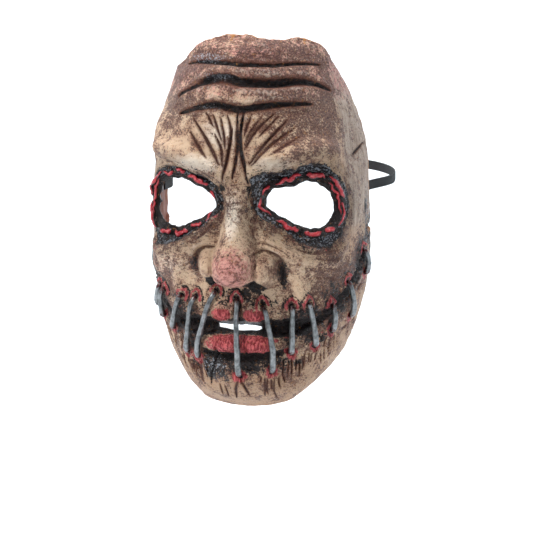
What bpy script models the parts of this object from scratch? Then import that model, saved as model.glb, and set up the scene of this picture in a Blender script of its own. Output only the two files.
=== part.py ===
"""Full-face latex horror mask with a sewn mouth and an elastic strap.

Metres, +Z up. The face looks along -Y and +X is on the right of someone facing it. The origin
is the middle of the hollow's open back: midway between the two side edges, level with the eye
holes. A place on the skin is given as across, the distance along the skin from the midline, and
up, the height above the eyes.
"""

import math
from collections import namedtuple

import bmesh
import bpy
import numpy as np
from mathutils import Vector
from mathutils.bvhtree import BVHTree

# The face as a whole
MASK_HEIGHT = 0.234
MASK_WIDTH = 0.139
FACE_DEPTH = 0.081
WALL = 0.0022
RELIEF = 0.010

# Nose
NOSE_REACH = 0.027
NOSE_WIDTH = 0.038
NOSE_LENGTH = 0.073
NOSE_TIP_UP = -0.040
NOSE_DROOP = 0.12
WING_REACH = 0.0135
WING_RADIUS = 0.0115
WING_SPREAD = 0.0165
NOSTRIL_DEPTH = 0.010
NOSTRIL_SPREAD = 0.0098
NOSTRIL_WIDTH = 0.0125
NOSTRIL_HEIGHT = 0.010

# Eye holes
EYE_HOLE_LENGTH = 0.049
EYE_HOLE_HEIGHT = 0.028
EYE_SPREAD = 0.041
EYE_DROP = 0.09
EYE_RIM_WIDTH = 0.013
EYE_RIM_RAISE = 0.0020
SOCKET_DEPTH = 0.0060

# Mouth
MOUTH_UP = -0.077
MOUTH_HOLE_WIDTH = 0.032
MOUTH_HOLE_HEIGHT = 0.0068
MOUTH_LENGTH = 0.076
GROOVE_DEPTH = 0.0045
GROOVE_WIDTH = 0.010
GASH_RISE = 0.052
GASH_DEPTH = 0.0010
GASH_WIDTH = 0.026

# Forehead and frown
CREASE_DEPTH = 0.0011
CREASE_WIDTH = 0.009
FROWN_DEPTH = 0.0011
FROWN_WIDTH = 0.009
TOP_EDGE_WAVE = 0.0016

# Stitches
STITCH_DIAMETER = 0.0030
STITCH_GAP = 0.0003
STITCH_POINTS = 8

# Strap
STRAP_WIDTH = 0.0064
STRAP_THICKNESS = 0.0012
STRAP_GAP = 0.0003
STRAP_UP = 0.0050
STRAP_RISE = 0.0070
STRAP_TUCK = 0.0150
STRAP_LOOP_WIDTH = 0.156
STRAP_LOOP_BACK = 0.113
STRAP_STEPS = 44

# Mesh
ROWS = 51
COLUMNS = 45
OUTLINE_POINTS = 36

# Sections from the top edge to under the chin. Depths are shares of FACE_DEPTH, heights of
# MASK_HEIGHT and half widths of MASK_WIDTH. fullness 2 is an ellipse and more is squarer;
# level 1 lets a section fall evenly towards its sides and more keeps it level for longer.
Section = namedtuple(
    "Section", "front_depth front_height half_width side_depth side_height fullness level"
)
SECTIONS = (
    Section(0.74, 0.449, 0.360, 0.272, 0.342, 1.9, 1.9),
    Section(0.85, 0.400, 0.388, 0.222, 0.321, 1.9, 1.7),
    Section(0.94, 0.331, 0.421, 0.173, 0.278, 2.0, 1.5),
    Section(0.98, 0.242, 0.464, 0.111, 0.205, 2.3, 1.2),
    Section(1.00, 0.137, 0.493, 0.062, 0.107, 2.7, 1.0),
    Section(1.00, 0.021, 0.496, 0.037, 0.000, 2.8, 1.0),
    Section(0.99, -0.103, 0.500, 0.012, -0.115, 2.7, 1.0),
    Section(0.96, -0.214, 0.493, 0.012, -0.218, 2.6, 1.0),
    Section(0.94, -0.321, 0.460, 0.099, -0.321, 2.4, 1.0),
    Section(0.92, -0.423, 0.403, 0.247, -0.415, 2.1, 1.0),
    Section(0.88, -0.506, 0.317, 0.444, -0.479, 1.8, 1.0),
    Section(0.70, -0.556, 0.223, 0.600, -0.524, 1.8, 1.0),
)

# Swellings and hollows of the skin, on both sides. across and half_width are shares of
# MASK_WIDTH, up and half_height of MASK_HEIGHT, rise of RELIEF; turn lifts the outer end.
Mound = namedtuple("Mound", "across up half_width half_height turn rise")
MOUNDS = (
    Mound(0.24, 0.130, 0.27, 0.050, 12, 0.45),  # brow ridge
    Mound(0.06, 0.118, 0.10, 0.045, 60, 0.20),  # inner end of the brow
    Mound(0.60, 0.130, 0.16, 0.130, 0, -0.25),  # temple
    Mound(0.38, -0.150, 0.22, 0.065, -10, 0.40),  # cheekbone
    Mound(0.27, -0.215, 0.10, 0.070, -50, -0.15),  # fold beside the nose
    Mound(0.00, -0.320, 0.30, 0.120, 0, 0.30),  # muzzle
    Mound(0.00, -0.455, 0.19, 0.060, 0, 0.45),  # chin
    Mound(0.09, -0.300, 0.12, 0.024, 8, 0.35),  # upper lip
    Mound(0.06, -0.378, 0.20, 0.030, -4, 0.50),  # lower lip
)

# Forehead creases: up and the end's drop as shares of MASK_HEIGHT, half_length of MASK_WIDTH,
# depth of CREASE_DEPTH.
Crease = namedtuple("Crease", "up half_length drop depth")
CREASES = (
    Crease(0.370, 0.34, 0.000, 0.9),
    Crease(0.331, 0.42, 0.022, 1.0),
    Crease(0.262, 0.31, 0.014, 1.0),
)

# The nose from its root to its base: up as a share of NOSE_LENGTH above the tip, reach of
# NOSE_REACH, half_width of NOSE_WIDTH; a blunt profile has a low flank number.
Bridge = namedtuple("Bridge", "up reach half_width flank")
BRIDGES = (
    Bridge(0.80, 0.00, 0.28, 1.5),
    Bridge(0.68, 0.05, 0.31, 1.5),
    Bridge(0.55, 0.17, 0.36, 1.5),
    Bridge(0.38, 0.39, 0.42, 1.5),
    Bridge(0.22, 0.67, 0.47, 1.4),
    Bridge(0.09, 0.94, 0.50, 1.2),
    Bridge(0.00, 1.00, 0.50, 1.1),
    Bridge(-0.08, 0.84, 0.48, 1.1),
    Bridge(-0.15, 0.30, 0.42, 1.2),
    Bridge(-0.20, 0.00, 0.36, 1.3),
)

# Stitches from their upper to their lower ends, across as a share of MASK_WIDTH and up of
# MASK_HEIGHT.
Stitch = namedtuple("Stitch", "name top_across top_up bottom_across bottom_up")
STITCHES = (
    Stitch("stitch_centre", -0.006, -0.247, 0.006, -0.456),
    Stitch("stitch_right_1", 0.110, -0.259, 0.145, -0.448),
    Stitch("stitch_right_2", 0.240, -0.264, 0.238, -0.398),
    Stitch("stitch_right_3", 0.315, -0.257, 0.357, -0.381),
    Stitch("stitch_right_4", 0.445, -0.271, 0.450, -0.346),
    Stitch("stitch_right_5", 0.560, -0.213, 0.595, -0.317),
    Stitch("stitch_right_6", 0.735, -0.137, 0.760, -0.209),
    Stitch("stitch_left_1", -0.100, -0.228, -0.208, -0.418),
    Stitch("stitch_left_2", -0.203, -0.247, -0.272, -0.408),
    Stitch("stitch_left_3", -0.275, -0.247, -0.364, -0.346),
    Stitch("stitch_left_4", -0.415, -0.243, -0.464, -0.324),
    Stitch("stitch_left_5", -0.480, -0.234, -0.536, -0.299),
    Stitch("stitch_left_6", -0.735, -0.137, -0.760, -0.209),
)


def clear_scene():
    for obj in list(bpy.data.objects):
        bpy.data.objects.remove(obj)


def make_material(name, colour, roughness, metallic):
    material = bpy.data.materials.new(name)
    material.use_nodes = True
    shader = material.node_tree.nodes["Principled BSDF"]
    shader.inputs["Base Color"].default_value = (*colour, 1)
    shader.inputs["Roughness"].default_value = roughness
    shader.inputs["Metallic"].default_value = metallic
    return material


def add_object(name, data, material=None):
    obj = bpy.data.objects.new(name, data)
    bpy.context.scene.collection.objects.link(obj)
    if material:
        data.materials.append(material)
    return obj


def column(rows, name):
    """One named column of a table, as an array."""
    return np.array([getattr(row, name) for row in rows], float)


def smooth_curve(keys, values, at):
    """A smooth curve through (keys, values), which may rise or fall along keys."""
    order = np.argsort(keys)
    keys, values = np.asarray(keys)[order], np.asarray(values)[order]
    slopes = np.gradient(values, keys)
    at = np.clip(at, keys[0], keys[-1])
    low = np.clip(np.searchsorted(keys, at, side="right") - 1, 0, len(keys) - 2)
    step = keys[low + 1] - keys[low]
    part = (at - keys[low]) / step
    rest = 1 - part
    ends = values[low] * (1 + 2 * part) * rest**2 + values[low + 1] * (3 - 2 * part) * part**2
    bends = slopes[low] * part * rest**2 - slopes[low + 1] * rest * part**2
    return ends + bends * step


def bump(distance, reach):
    """1 at distance 0, falling smoothly to 0 at reach."""
    return (1 - np.clip(np.abs(distance) / reach, 0, 1) ** 2) ** 2


def smooth_step(value, low, high):
    part = np.clip((value - low) / (high - low), 0, 1)
    return part * part * (3 - 2 * part)


def section_points(down, across):
    """Places on the plain skin, with no features.

    down runs from 0 at the top edge to 1 under the chin, across from -1 to 1 between the side
    edges in equal lengths of skin. Returns an array of points and one of their distances from
    the midline along the skin.
    """
    keys = np.linspace(0, 1, len(SECTIONS))
    front_y = -FACE_DEPTH * smooth_curve(keys, column(SECTIONS, "front_depth"), down)
    front_z = MASK_HEIGHT * smooth_curve(keys, column(SECTIONS, "front_height"), down)
    half_width = MASK_WIDTH * smooth_curve(keys, column(SECTIONS, "half_width"), down)
    side_y = -FACE_DEPTH * smooth_curve(keys, column(SECTIONS, "side_depth"), down)
    side_z = MASK_HEIGHT * smooth_curve(keys, column(SECTIONS, "side_height"), down)
    power = 2 / smooth_curve(keys, column(SECTIONS, "fullness"), down)
    level = smooth_curve(keys, column(SECTIONS, "level"), down)
    turn = np.linspace(0, math.pi / 2, 240) ** 2 / (math.pi / 2)
    points = np.empty((len(down), len(across), 3))
    along = np.empty((len(down), len(across)))
    for i in range(len(down)):
        x = half_width[i] * np.sin(turn) ** power[i]
        y = side_y[i] + (front_y[i] - side_y[i]) * np.cos(turn) ** power[i]
        z = front_z[i] + (side_z[i] - front_z[i]) * (1 - np.cos(turn)) ** level[i]
        steps = np.sqrt(np.diff(x) ** 2 + np.diff(y) ** 2 + np.diff(z) ** 2)
        length = np.concatenate([[0], np.cumsum(steps)])
        wanted = np.abs(across) * length[-1]
        points[i, :, 0] = np.sign(across) * np.interp(wanted, length, x)
        points[i, :, 1] = np.interp(wanted, length, y)
        points[i, :, 2] = np.interp(wanted, length, z)
        along[i] = np.sign(across) * wanted
    return points, along


def grid_normals(points):
    """Unit normals of a grid of points, pointing out of the face."""
    normals = np.cross(np.gradient(points, axis=0), np.gradient(points, axis=1))
    return normals / np.linalg.norm(normals, axis=2, keepdims=True)


def eye_distance(along, up):
    """Distance from the edge of the nearer eye hole, negative inside it.

    The hole is a squashed circle with a sharper inner corner.
    """
    x = np.abs(along) - EYE_SPREAD
    z = up + EYE_DROP * x
    length = EYE_HOLE_LENGTH * np.where(x < 0, 0.53, 0.47)
    height = EYE_HOLE_HEIGHT * np.where(z > 0, 0.52, 0.48)
    corner = np.where(x < 0, 1.45, 2.2)
    size = (np.abs(x / length) ** corner + np.abs(z / height) ** corner) ** (1 / corner)
    reach = np.hypot(x, z)
    return reach - reach / np.maximum(size, 1e-6)


def gash_up(along):
    """Height of the mouth line, which climbs towards the ears past the mouth's corners."""
    run = (np.abs(along) - MOUTH_LENGTH / 2) / (0.86 * MASK_WIDTH - MOUTH_LENGTH / 2)
    return MOUTH_UP + GASH_RISE * np.clip(run, 0, None) ** 1.29


def nose_reach(along, up):
    """How far the nose stands forward of the plain skin."""
    key = (up - NOSE_TIP_UP) / NOSE_LENGTH
    keys = column(BRIDGES, "up")
    reach = NOSE_REACH * smooth_curve(keys, column(BRIDGES, "reach"), key)
    half_width = NOSE_WIDTH * smooth_curve(keys, column(BRIDGES, "half_width"), key)
    flank = smooth_curve(keys, column(BRIDGES, "flank"), key)
    bridge = reach * np.clip(1 - (along / half_width) ** 2, 0, 1) ** flank
    wing_up = NOSE_TIP_UP + 0.2 * WING_RADIUS
    wing = np.hypot(np.abs(along) - WING_SPREAD, up - wing_up) / WING_RADIUS
    wing = WING_REACH * np.clip(1 - wing**2, 0, 1) ** 1.3
    nostril_up = NOSE_TIP_UP - 0.75 * NOSTRIL_HEIGHT
    nostril_x = (np.abs(along) - NOSTRIL_SPREAD) * 2 / NOSTRIL_WIDTH
    nostril_z = (up - nostril_up) * 2 / NOSTRIL_HEIGHT
    nostril = NOSTRIL_DEPTH * bump(np.hypot(nostril_x, nostril_z), 1)
    both = (bridge**3 + wing**3) ** (1 / 3)
    return np.maximum(both - nostril, 0)


def swelling(along, up):
    """Broad relief of the skin: brow, cheeks, lips, chin, eye rims and the mouth's groove."""
    height = np.zeros_like(along)
    for mound in MOUNDS:
        x = np.abs(along) - mound.across * MASK_WIDTH
        z = up - mound.up * MASK_HEIGHT
        turn = math.radians(mound.turn)
        u = (x * math.cos(turn) + z * math.sin(turn)) / (mound.half_width * MASK_WIDTH)
        v = (z * math.cos(turn) - x * math.sin(turn)) / (mound.half_height * MASK_HEIGHT)
        height += mound.rise * RELIEF * bump(np.hypot(u, v), 1)
    gap = eye_distance(along, up)
    inner = smooth_step(np.abs(along), 0.3 * EYE_SPREAD, 0.5 * EYE_SPREAD)
    outer = 1 - smooth_step(np.abs(along), 0.7 * EYE_SPREAD, 1.7 * EYE_SPREAD)
    height -= SOCKET_DEPTH * inner * outer * (1 - smooth_step(gap, 0, EYE_RIM_WIDTH))
    inside = smooth_step(gap, -0.7 * EYE_RIM_WIDTH, 0.4 * EYE_RIM_WIDTH)
    outside = smooth_step(gap, 0.7 * EYE_RIM_WIDTH, 1.1 * EYE_RIM_WIDTH)
    height += EYE_RIM_RAISE * inside * (1 - outside)
    ends = 1 - smooth_step(np.abs(along), 0.4 * MOUTH_LENGTH, 0.6 * MOUTH_LENGTH)
    height -= GROOVE_DEPTH * ends * bump(up - MOUTH_UP, GROOVE_WIDTH / 2)
    return height


def creasing(along, up):
    """Shallow creases: across the forehead, between the brows, and the gash to the ears."""
    height = np.zeros_like(along)
    for crease in CREASES:
        share = along / (crease.half_length * MASK_WIDTH)
        line = MASK_HEIGHT * (crease.up - crease.drop * share**2)
        fade = bump(share, 1.15)
        height -= crease.depth * CREASE_DEPTH * fade * bump(up - line, CREASE_WIDTH / 2)
    frown = bump(up - 0.15 * MASK_HEIGHT, 0.11 * MASK_HEIGHT)
    height -= FROWN_DEPTH * frown * bump(along, FROWN_WIDTH / 2)
    past = smooth_step(np.abs(along), 0.45 * MOUTH_LENGTH, 0.65 * MOUTH_LENGTH)
    height -= GASH_DEPTH * past * bump(up - gash_up(along), GASH_WIDTH / 2)
    return height


def skin_grid(rows, columns):
    """The skin as a grid: its points without creases, its normals and the creases' depth."""
    step = np.linspace(0, 1, rows)
    closest = 0.62
    wave = np.sin(2 * math.pi * (step - closest)) + math.sin(2 * math.pi * closest)
    down = step + 0.30 * wave / (2 * math.pi)
    across = np.linspace(-1, 1, columns)
    across = 0.52 * across + 0.48 * across**3
    plain, along = section_points(down, across)
    up = plain[..., 2]
    points = plain + grid_normals(plain) * swelling(along, up)[..., None]
    reach = nose_reach(along, up)
    points[..., 1] -= reach
    points[..., 2] -= NOSE_DROOP * reach
    edge = 1 - smooth_step(down, 0, 0.06)[:, None]
    points[..., 2] += TOP_EDGE_WAVE * edge * np.sin(along / 0.0115 + 0.8)
    return points, grid_normals(points), creasing(along, up), along, up


def shell_mesh():
    """The closed latex shell before its holes are cut, and the outer skin's search tree."""
    points, normals, creases, _, _ = skin_grid(ROWS, COLUMNS)
    bm = bmesh.new()
    bmesh.ops.create_grid(bm, x_segments=ROWS - 1, y_segments=COLUMNS - 1, size=1)
    bm.verts.ensure_lookup_table()
    for i in range(ROWS):
        for j in range(COLUMNS):
            bm.verts[j * ROWS + i].co = points[i, j]
    bm.faces.ensure_lookup_table()
    bm.normal_update()
    if bm.faces[0].normal.dot(Vector(normals[0, 0])) < 0:
        bmesh.ops.reverse_faces(bm, faces=bm.faces[:])
    bmesh.ops.solidify(bm, geom=bm.faces[:], thickness=WALL)
    bm.verts.ensure_lookup_table()
    for i in range(ROWS):
        for j in range(COLUMNS):
            skin = bm.verts[j * ROWS + i]
            skin.co = points[i, j] + normals[i, j] * creases[i, j]
    bmesh.ops.recalc_face_normals(bm, faces=bm.faces[:])
    tree = BVHTree.FromBMesh(bm)
    mesh = bpy.data.meshes.new("mask_shell")
    bm.to_mesh(mesh)
    bm.free()
    return mesh, tree


def skin_place(along, up):
    """A point of the skin and its normal, at a distance along it and a height."""
    down = np.linspace(0, 1, 400)
    plain, lengths = section_points(down, np.linspace(-1, 1, 161))
    miss = np.hypot(lengths - along, plain[..., 2] - up)
    row, place = np.unravel_index(miss.argmin(), miss.shape)
    return Vector(plain[row, place]), Vector(grid_normals(plain)[row, place])


def outline_cutter(name, outline, direction, reach):
    """A prism through the skin, from a closed outline of points."""
    bm = bmesh.new()
    front = [bm.verts.new(Vector(point) + reach * direction) for point in outline]
    back = [bm.verts.new(Vector(point) - reach * direction) for point in outline]
    count = len(outline)
    for i in range(count):
        bm.faces.new((front[i], front[(i + 1) % count], back[(i + 1) % count], back[i]))
    bmesh.ops.triangulate(bm, faces=[bm.faces.new(front), bm.faces.new(back[::-1])])
    bmesh.ops.recalc_face_normals(bm, faces=bm.faces[:])
    mesh = bpy.data.meshes.new(name)
    bm.to_mesh(mesh)
    bm.free()
    cutter = add_object(name, mesh)
    cutter.hide_render = True
    cutter.display_type = "WIRE"
    return cutter


def eye_cutter(side):
    """The cutter of one eye hole, square to the skin at the hole's middle."""
    middle, normal = skin_place(side * EYE_SPREAD, 0)
    outline = []
    for angle in np.linspace(0, 2 * math.pi, OUTLINE_POINTS, endpoint=False):
        x, z = math.cos(angle), math.sin(angle)
        length = EYE_HOLE_LENGTH * (0.53 if x < 0 else 0.47)
        height = EYE_HOLE_HEIGHT * (0.52 if z > 0 else 0.48)
        corner = 1.45 if x < 0 else 2.2
        size = (abs(x / length) ** corner + abs(z / height) ** corner) ** (1 / corner)
        x, z = x / size, z / size
        point, _ = skin_place(side * (EYE_SPREAD + x), z - EYE_DROP * x)
        outline.append(point)
    return outline_cutter(f"eye_cutter_{side}", outline, normal, 0.5 * EYE_HOLE_LENGTH)


def mouth_cutter():
    """The cutter of the open middle of the mouth."""
    outline = []
    for angle in np.linspace(0, 2 * math.pi, OUTLINE_POINTS, endpoint=False):
        x = MOUTH_HOLE_WIDTH / 2 * math.cos(angle)
        z = MOUTH_UP + MOUTH_HOLE_HEIGHT / 2 * math.sin(angle)
        outline.append((x, -FACE_DEPTH, z))
    return outline_cutter("mouth_cutter", outline, Vector((0, -1, 0)), 0.3 * FACE_DEPTH)


def mask_shell():
    """The one-piece casting: face, nose, lips and eye rims, open at the back."""
    mesh, tree = shell_mesh()
    shell = add_object("mask_shell", mesh, make_material("latex", (0.50, 0.36, 0.26), 0.55, 0))
    for cutter in (eye_cutter(-1), eye_cutter(1), mouth_cutter()):
        cut = shell.modifiers.new(cutter.name, "BOOLEAN")
        cut.operation = "DIFFERENCE"
        cut.solver = "EXACT"
        cut.object = cutter
    mesh.shade_smooth()
    mesh.set_sharp_from_angle(angle=math.radians(50))
    return tree


def upper_hull(shares, heights):
    """The heights of a string pulled tight over the given ones."""
    hull = []
    for point in zip(shares, heights):
        while len(hull) > 1:
            (x0, h0), (x1, h1) = hull[-2], hull[-1]
            if (h1 - h0) * (point[0] - x0) > (point[1] - h0) * (x1 - x0):
                break
            hull.pop()
        hull.append(point)
    return np.interp(shares, [p[0] for p in hull], [p[1] for p in hull])


def stitch_path(stitch, tree):
    """Points of a stitch pulled tight over the skin, its radius and gap clear of it."""
    start, out = skin_place(stitch.top_across * MASK_WIDTH, stitch.top_up * MASK_HEIGHT)
    end, out_end = skin_place(stitch.bottom_across * MASK_WIDTH, stitch.bottom_up * MASK_HEIGHT)
    along = (end - start).normalized()
    out = (out + out_end).normalized()
    out = (out - out.dot(along) * along).normalized()
    aside = along.cross(out)
    radius = STITCH_DIAMETER / 2
    shares = np.linspace(0, 1, 4 * STITCH_POINTS + 1)
    heights = []
    for share in shares:
        base = start.lerp(end, share)
        found = []
        for shift in (-1, -0.5, 0, 0.5, 1):
            origin = base + shift * radius * aside + FACE_DEPTH * out
            hit = tree.ray_cast(origin, -out)[0]
            found.append((hit - base).dot(out))
        heights.append(max(found) + radius + STITCH_GAP)
    tight = upper_hull(shares, heights)
    reach = 0.35 * radius
    lift = reach * np.sin(math.pi * shares)
    picked = np.linspace(0, 1, STITCH_POINTS)
    heights = np.interp(picked, shares, tight + lift)
    return [start.lerp(end, s) + float(height) * out for s, height in zip(picked, heights)]


def stitches(tree):
    silver = make_material("silver_paint", (0.55, 0.57, 0.58), 0.35, 0.8)
    for stitch in STITCHES:
        path = stitch_path(stitch, tree)
        curve = bpy.data.curves.new(stitch.name, "CURVE")
        curve.dimensions = "3D"
        curve.bevel_depth = STITCH_DIAMETER / 2
        curve.bevel_resolution = 2
        curve.use_fill_caps = True
        spline = curve.splines.new("POLY")
        spline.points.add(len(path) - 1)
        for point, place in zip(spline.points, path):
            point.co = (*place, 1)
        add_object(stitch.name, curve, silver)


def strap_line(tree):
    """The strap's middle line, from inside the right wall round the back to the left one.

    Inside the wall it keeps its gap from the latex, then it swings out to the loop.
    """
    side, _ = skin_place(0.5 * MASK_WIDTH * 10, STRAP_UP)
    edge_y = side.y
    inside = []
    for depth in (0.15, 0.5, 1.0):
        for height in (-0.5, 0, 0.5):
            origin = Vector((0, edge_y - depth * STRAP_TUCK, STRAP_UP + height * STRAP_WIDTH))
            inside.append(tree.ray_cast(origin, Vector((1, 0, 0)))[0].x)
    wall_x = min(inside) - STRAP_GAP - STRAP_THICKNESS / 2
    centre_y = edge_y + 0.36 * (STRAP_LOOP_BACK - edge_y)
    half_width = STRAP_LOOP_WIDTH / 2
    half_length = STRAP_LOOP_BACK - centre_y
    start = edge_y - STRAP_TUCK
    line = [(wall_x, y, STRAP_UP) for y in (start, 0.5 * (start + edge_y), edge_y)]
    front = math.asin((centre_y - edge_y) / half_length)
    for angle in np.linspace(-front, math.pi / 2, STRAP_STEPS // 2 + 1)[1:]:
        y = centre_y + half_length * math.sin(angle)
        swing = smooth_step(y, edge_y, centre_y)
        x = wall_x + swing * (half_width - wall_x)
        if angle > 0:
            x = half_width * math.cos(angle)
        rise = (y - edge_y) / (STRAP_LOOP_BACK - edge_y)
        line.append((max(x, 0), y, STRAP_UP + STRAP_RISE * rise))
    return line + [(-x, y, z) for x, y, z in line[-2::-1]]


def elastic_strap(tree):
    """A flat woven elastic glued inside the side walls and passed round the back of the head."""
    line = strap_line(tree)
    mesh = bpy.data.meshes.new("elastic_strap")
    half = Vector((0, 0, STRAP_WIDTH / 2))
    points = [Vector(place) - half for place in line] + [Vector(place) + half for place in line]
    count = len(line)
    faces = [(i, i + 1, count + i + 1, count + i) for i in range(count - 1)]
    mesh.from_pydata([tuple(point) for point in points], [], faces)
    black = make_material("elastic", (0.012, 0.012, 0.014), 0.8, 0)
    strap = add_object("elastic_strap", mesh, black)
    solid = strap.modifiers.new("thickness", "SOLIDIFY")
    solid.thickness = STRAP_THICKNESS
    solid.offset = 0
    solid.use_even_offset = True


clear_scene()
skin_tree = mask_shell()
stitches(skin_tree)
elastic_strap(skin_tree)
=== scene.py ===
import math
from collections import namedtuple

import bpy
import numpy as np
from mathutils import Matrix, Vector


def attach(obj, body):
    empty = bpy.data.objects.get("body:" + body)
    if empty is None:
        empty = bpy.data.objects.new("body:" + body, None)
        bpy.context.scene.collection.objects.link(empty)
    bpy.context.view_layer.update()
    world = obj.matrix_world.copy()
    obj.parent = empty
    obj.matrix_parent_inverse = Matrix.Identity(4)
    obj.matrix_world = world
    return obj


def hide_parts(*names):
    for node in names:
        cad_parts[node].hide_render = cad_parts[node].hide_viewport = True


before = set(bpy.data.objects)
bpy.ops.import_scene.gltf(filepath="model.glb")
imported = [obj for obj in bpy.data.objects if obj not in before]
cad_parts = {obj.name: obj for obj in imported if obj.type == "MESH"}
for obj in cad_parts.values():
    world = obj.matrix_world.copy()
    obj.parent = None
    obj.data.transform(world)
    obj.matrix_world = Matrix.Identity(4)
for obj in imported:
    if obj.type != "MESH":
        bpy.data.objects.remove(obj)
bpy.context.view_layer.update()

# Latex skin
# One hollow casting in flexible latex, about 2 mm thick, poured in a mould and trimmed at its edge.
# It is painted by hand: a tan ground, brown rubbed over it, then black, red and silver in the
# relief, with painted shade and painted highlights worked into these paints. Left raw inside.
# Places on it are given in millimetres: w along the skin from the midline, z up from the eyes.

MM = 0.001
WALL = 2.2
ROWS = 256
COLUMNS = 197

Section = namedtuple("Section", "front_y front_z half_width side_y side_z fullness level")
SECTIONS = (
    Section(-59.9, 105.1, 50.0, -22.0, 80.0, 1.9, 1.9),
    Section(-68.9, 93.6, 53.9, -18.0, 75.1, 1.9, 1.7),
    Section(-76.1, 77.5, 58.5, -14.0, 65.1, 2.0, 1.5),
    Section(-79.4, 56.6, 64.5, -9.0, 48.0, 2.3, 1.2),
    Section(-81.0, 32.1, 68.5, -5.0, 25.0, 2.7, 1.0),
    Section(-81.0, 4.9, 68.9, -3.0, 0.0, 2.8, 1.0),
    Section(-80.2, -24.1, 69.5, -1.0, -26.9, 2.7, 1.0),
    Section(-77.8, -50.1, 68.5, -1.0, -51.0, 2.6, 1.0),
    Section(-76.1, -75.1, 63.9, -8.0, -75.1, 2.4, 1.0),
    Section(-74.5, -99.0, 56.0, -20.0, -97.1, 2.1, 1.0),
    Section(-71.3, -118.4, 44.1, -36.0, -112.1, 1.8, 1.0),
    Section(-56.7, -130.1, 31.0, -48.6, -122.6, 1.8, 1.0),
)


def curve_through(keys, values, at):
    """A smooth curve through the given values: a cubic between each two keys, whose slope at a
    key is that of its neighbours."""
    keys, values = np.asarray(keys, float), np.asarray(values, float)
    slopes = np.gradient(values, keys)
    at = np.clip(at, keys[0], keys[-1])
    low = np.clip(np.searchsorted(keys, at, side="right") - 1, 0, len(keys) - 2)
    step = keys[low + 1] - keys[low]
    part = (at - keys[low]) / step
    rest = 1 - part
    ends = values[low] * (1 + 2 * part) * rest**2 + values[low + 1] * (3 - 2 * part) * part**2
    return ends + step * (slopes[low] * part * rest**2 - slopes[low + 1] * rest * part**2)


def section_value(name, down):
    """One column of the sections, at shares of the way down the face."""
    keys = np.linspace(0, 1, len(SECTIONS))
    return curve_through(keys, [getattr(section, name) for section in SECTIONS], down)[:, None]


def plain_skin(down, across):
    """The casting with no features, and how far each place lies from the midline along the skin.

    A row is a squashed circle: x = half_width sin(t)^p, y goes from the front to the side edge as
    cos(t)^p, z as (1 - cos t)^level. Its places are spaced by length along that curve.
    """
    turn = np.linspace(0, 1, 400)[None, :] ** 2 * math.pi / 2
    power = 2 / section_value("fullness", down)
    x = section_value("half_width", down) * np.sin(turn) ** power
    side_y, side_z = section_value("side_y", down), section_value("side_z", down)
    front_y, front_z = section_value("front_y", down), section_value("front_z", down)
    y = side_y + (front_y - side_y) * np.cos(turn) ** power
    z = front_z + (side_z - front_z) * (1 - np.cos(turn)) ** section_value("level", down)
    steps = np.sqrt(np.diff(x) ** 2 + np.diff(y) ** 2 + np.diff(z) ** 2)
    length = np.hstack([np.zeros((len(down), 1)), np.cumsum(steps, axis=1)])
    wanted = np.abs(across) * length[:, -1:]
    rows = [
        [np.interp(wanted[i], length[i], line[i]) for line in (x, y, z)] for i in range(len(down))
    ]
    points = np.array(rows).transpose(0, 2, 1)
    points[..., 0] *= np.sign(across)
    return points, wanted * np.sign(across)


def bump(distance, reach):
    """1 at distance 0, falling smoothly to 0 at reach: the square of 1 - (distance/reach)^2."""
    return (1 - np.clip(np.abs(distance) / reach, 0, 1) ** 2) ** 2


def ease(value, low, high):
    """0 up to low, 1 from high on, and a smooth S between them."""
    part = np.clip((value - low) / (high - low), 0, 1)
    return part * part * (3 - 2 * part)


def lumps(u, v, size, seed):
    """Smooth random heights from -1 to 1: random values at the corners of squares of that size,
    eased from corner to corner."""
    corners = np.random.default_rng(seed).uniform(-1, 1, (97, 97))
    u, v = u / size + 31.7, v / size + 47.3
    i, j = np.floor(u).astype(int), np.floor(v).astype(int)
    p, q = ease(u - i, 0, 1), ease(v - j, 0, 1)
    i, j, k, m = i % 97, j % 97, (i + 1) % 97, (j + 1) % 97
    low = corners[i, j] * (1 - q) + corners[i, m] * q
    high = corners[k, j] * (1 - q) + corners[k, m] * q
    return low * (1 - p) + high * p


def rough(u, v, size, seed):
    """Three sizes of lumps added up, each half as big and half as high as the one before."""
    total = lumps(u, v, size, seed) + 0.5 * lumps(u, v, size / 2, seed + 1)
    return (total + 0.25 * lumps(u, v, size / 4, seed + 2)) / 1.4


def normals_of(points):
    """Unit normals of a grid, out of the face: the way down crossed with the way across."""
    normals = np.cross(np.gradient(points, axis=0), np.gradient(points, axis=1))
    return normals / np.linalg.norm(normals, axis=2, keepdims=True)


# Radius of the two eye holes' edge at each angle round a point 42 mm from the midline; 180 is the
# inner corner.
EYE_CENTRE = 42.0
EYE_ANGLES = np.radians(np.arange(-180, 181, 22.5))
EYE_RIGHT = (
    23.4, 16.4, 12.4, 12.0, 12.6, 15.2, 19.6, 21.6, 21.6,
    20.4, 18.0, 15.6, 13.6, 12.8, 16.0, 22.8, 23.4
)
EYE_LEFT = (
    27.4, 19.6, 15.0, 13.8, 14.6, 17.2, 20.8, 22.4, 22.0,
    20.8, 18.4, 15.8, 14.8, 14.6, 15.8, 20.8, 27.4
)


# Width of the sunk black ring round each hole, at the same angles.
RING_RIGHT = (
    7.5, 5.8, 6.6, 8.6, 10.2, 10.6, 10.8, 13.0, 15.0, 13.6, 12.0, 11.4, 11.2, 11.4, 11.5, 11.0, 7.5
)
RING_LEFT = (
    5.6, 5.0, 6.6, 7.6, 8.8, 11.0, 12.0, 13.0, 13.0, 11.0, 9.5, 8.6, 8.2, 8.6, 9.3, 9.5, 5.6
)


def eye_edge(angle, side):
    """The radius of an eye hole's edge at an angle round its centre."""
    right = curve_through(EYE_ANGLES, EYE_RIGHT, angle)
    return np.where(side > 0, right, curve_through(EYE_ANGLES, EYE_LEFT, angle))


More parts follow.
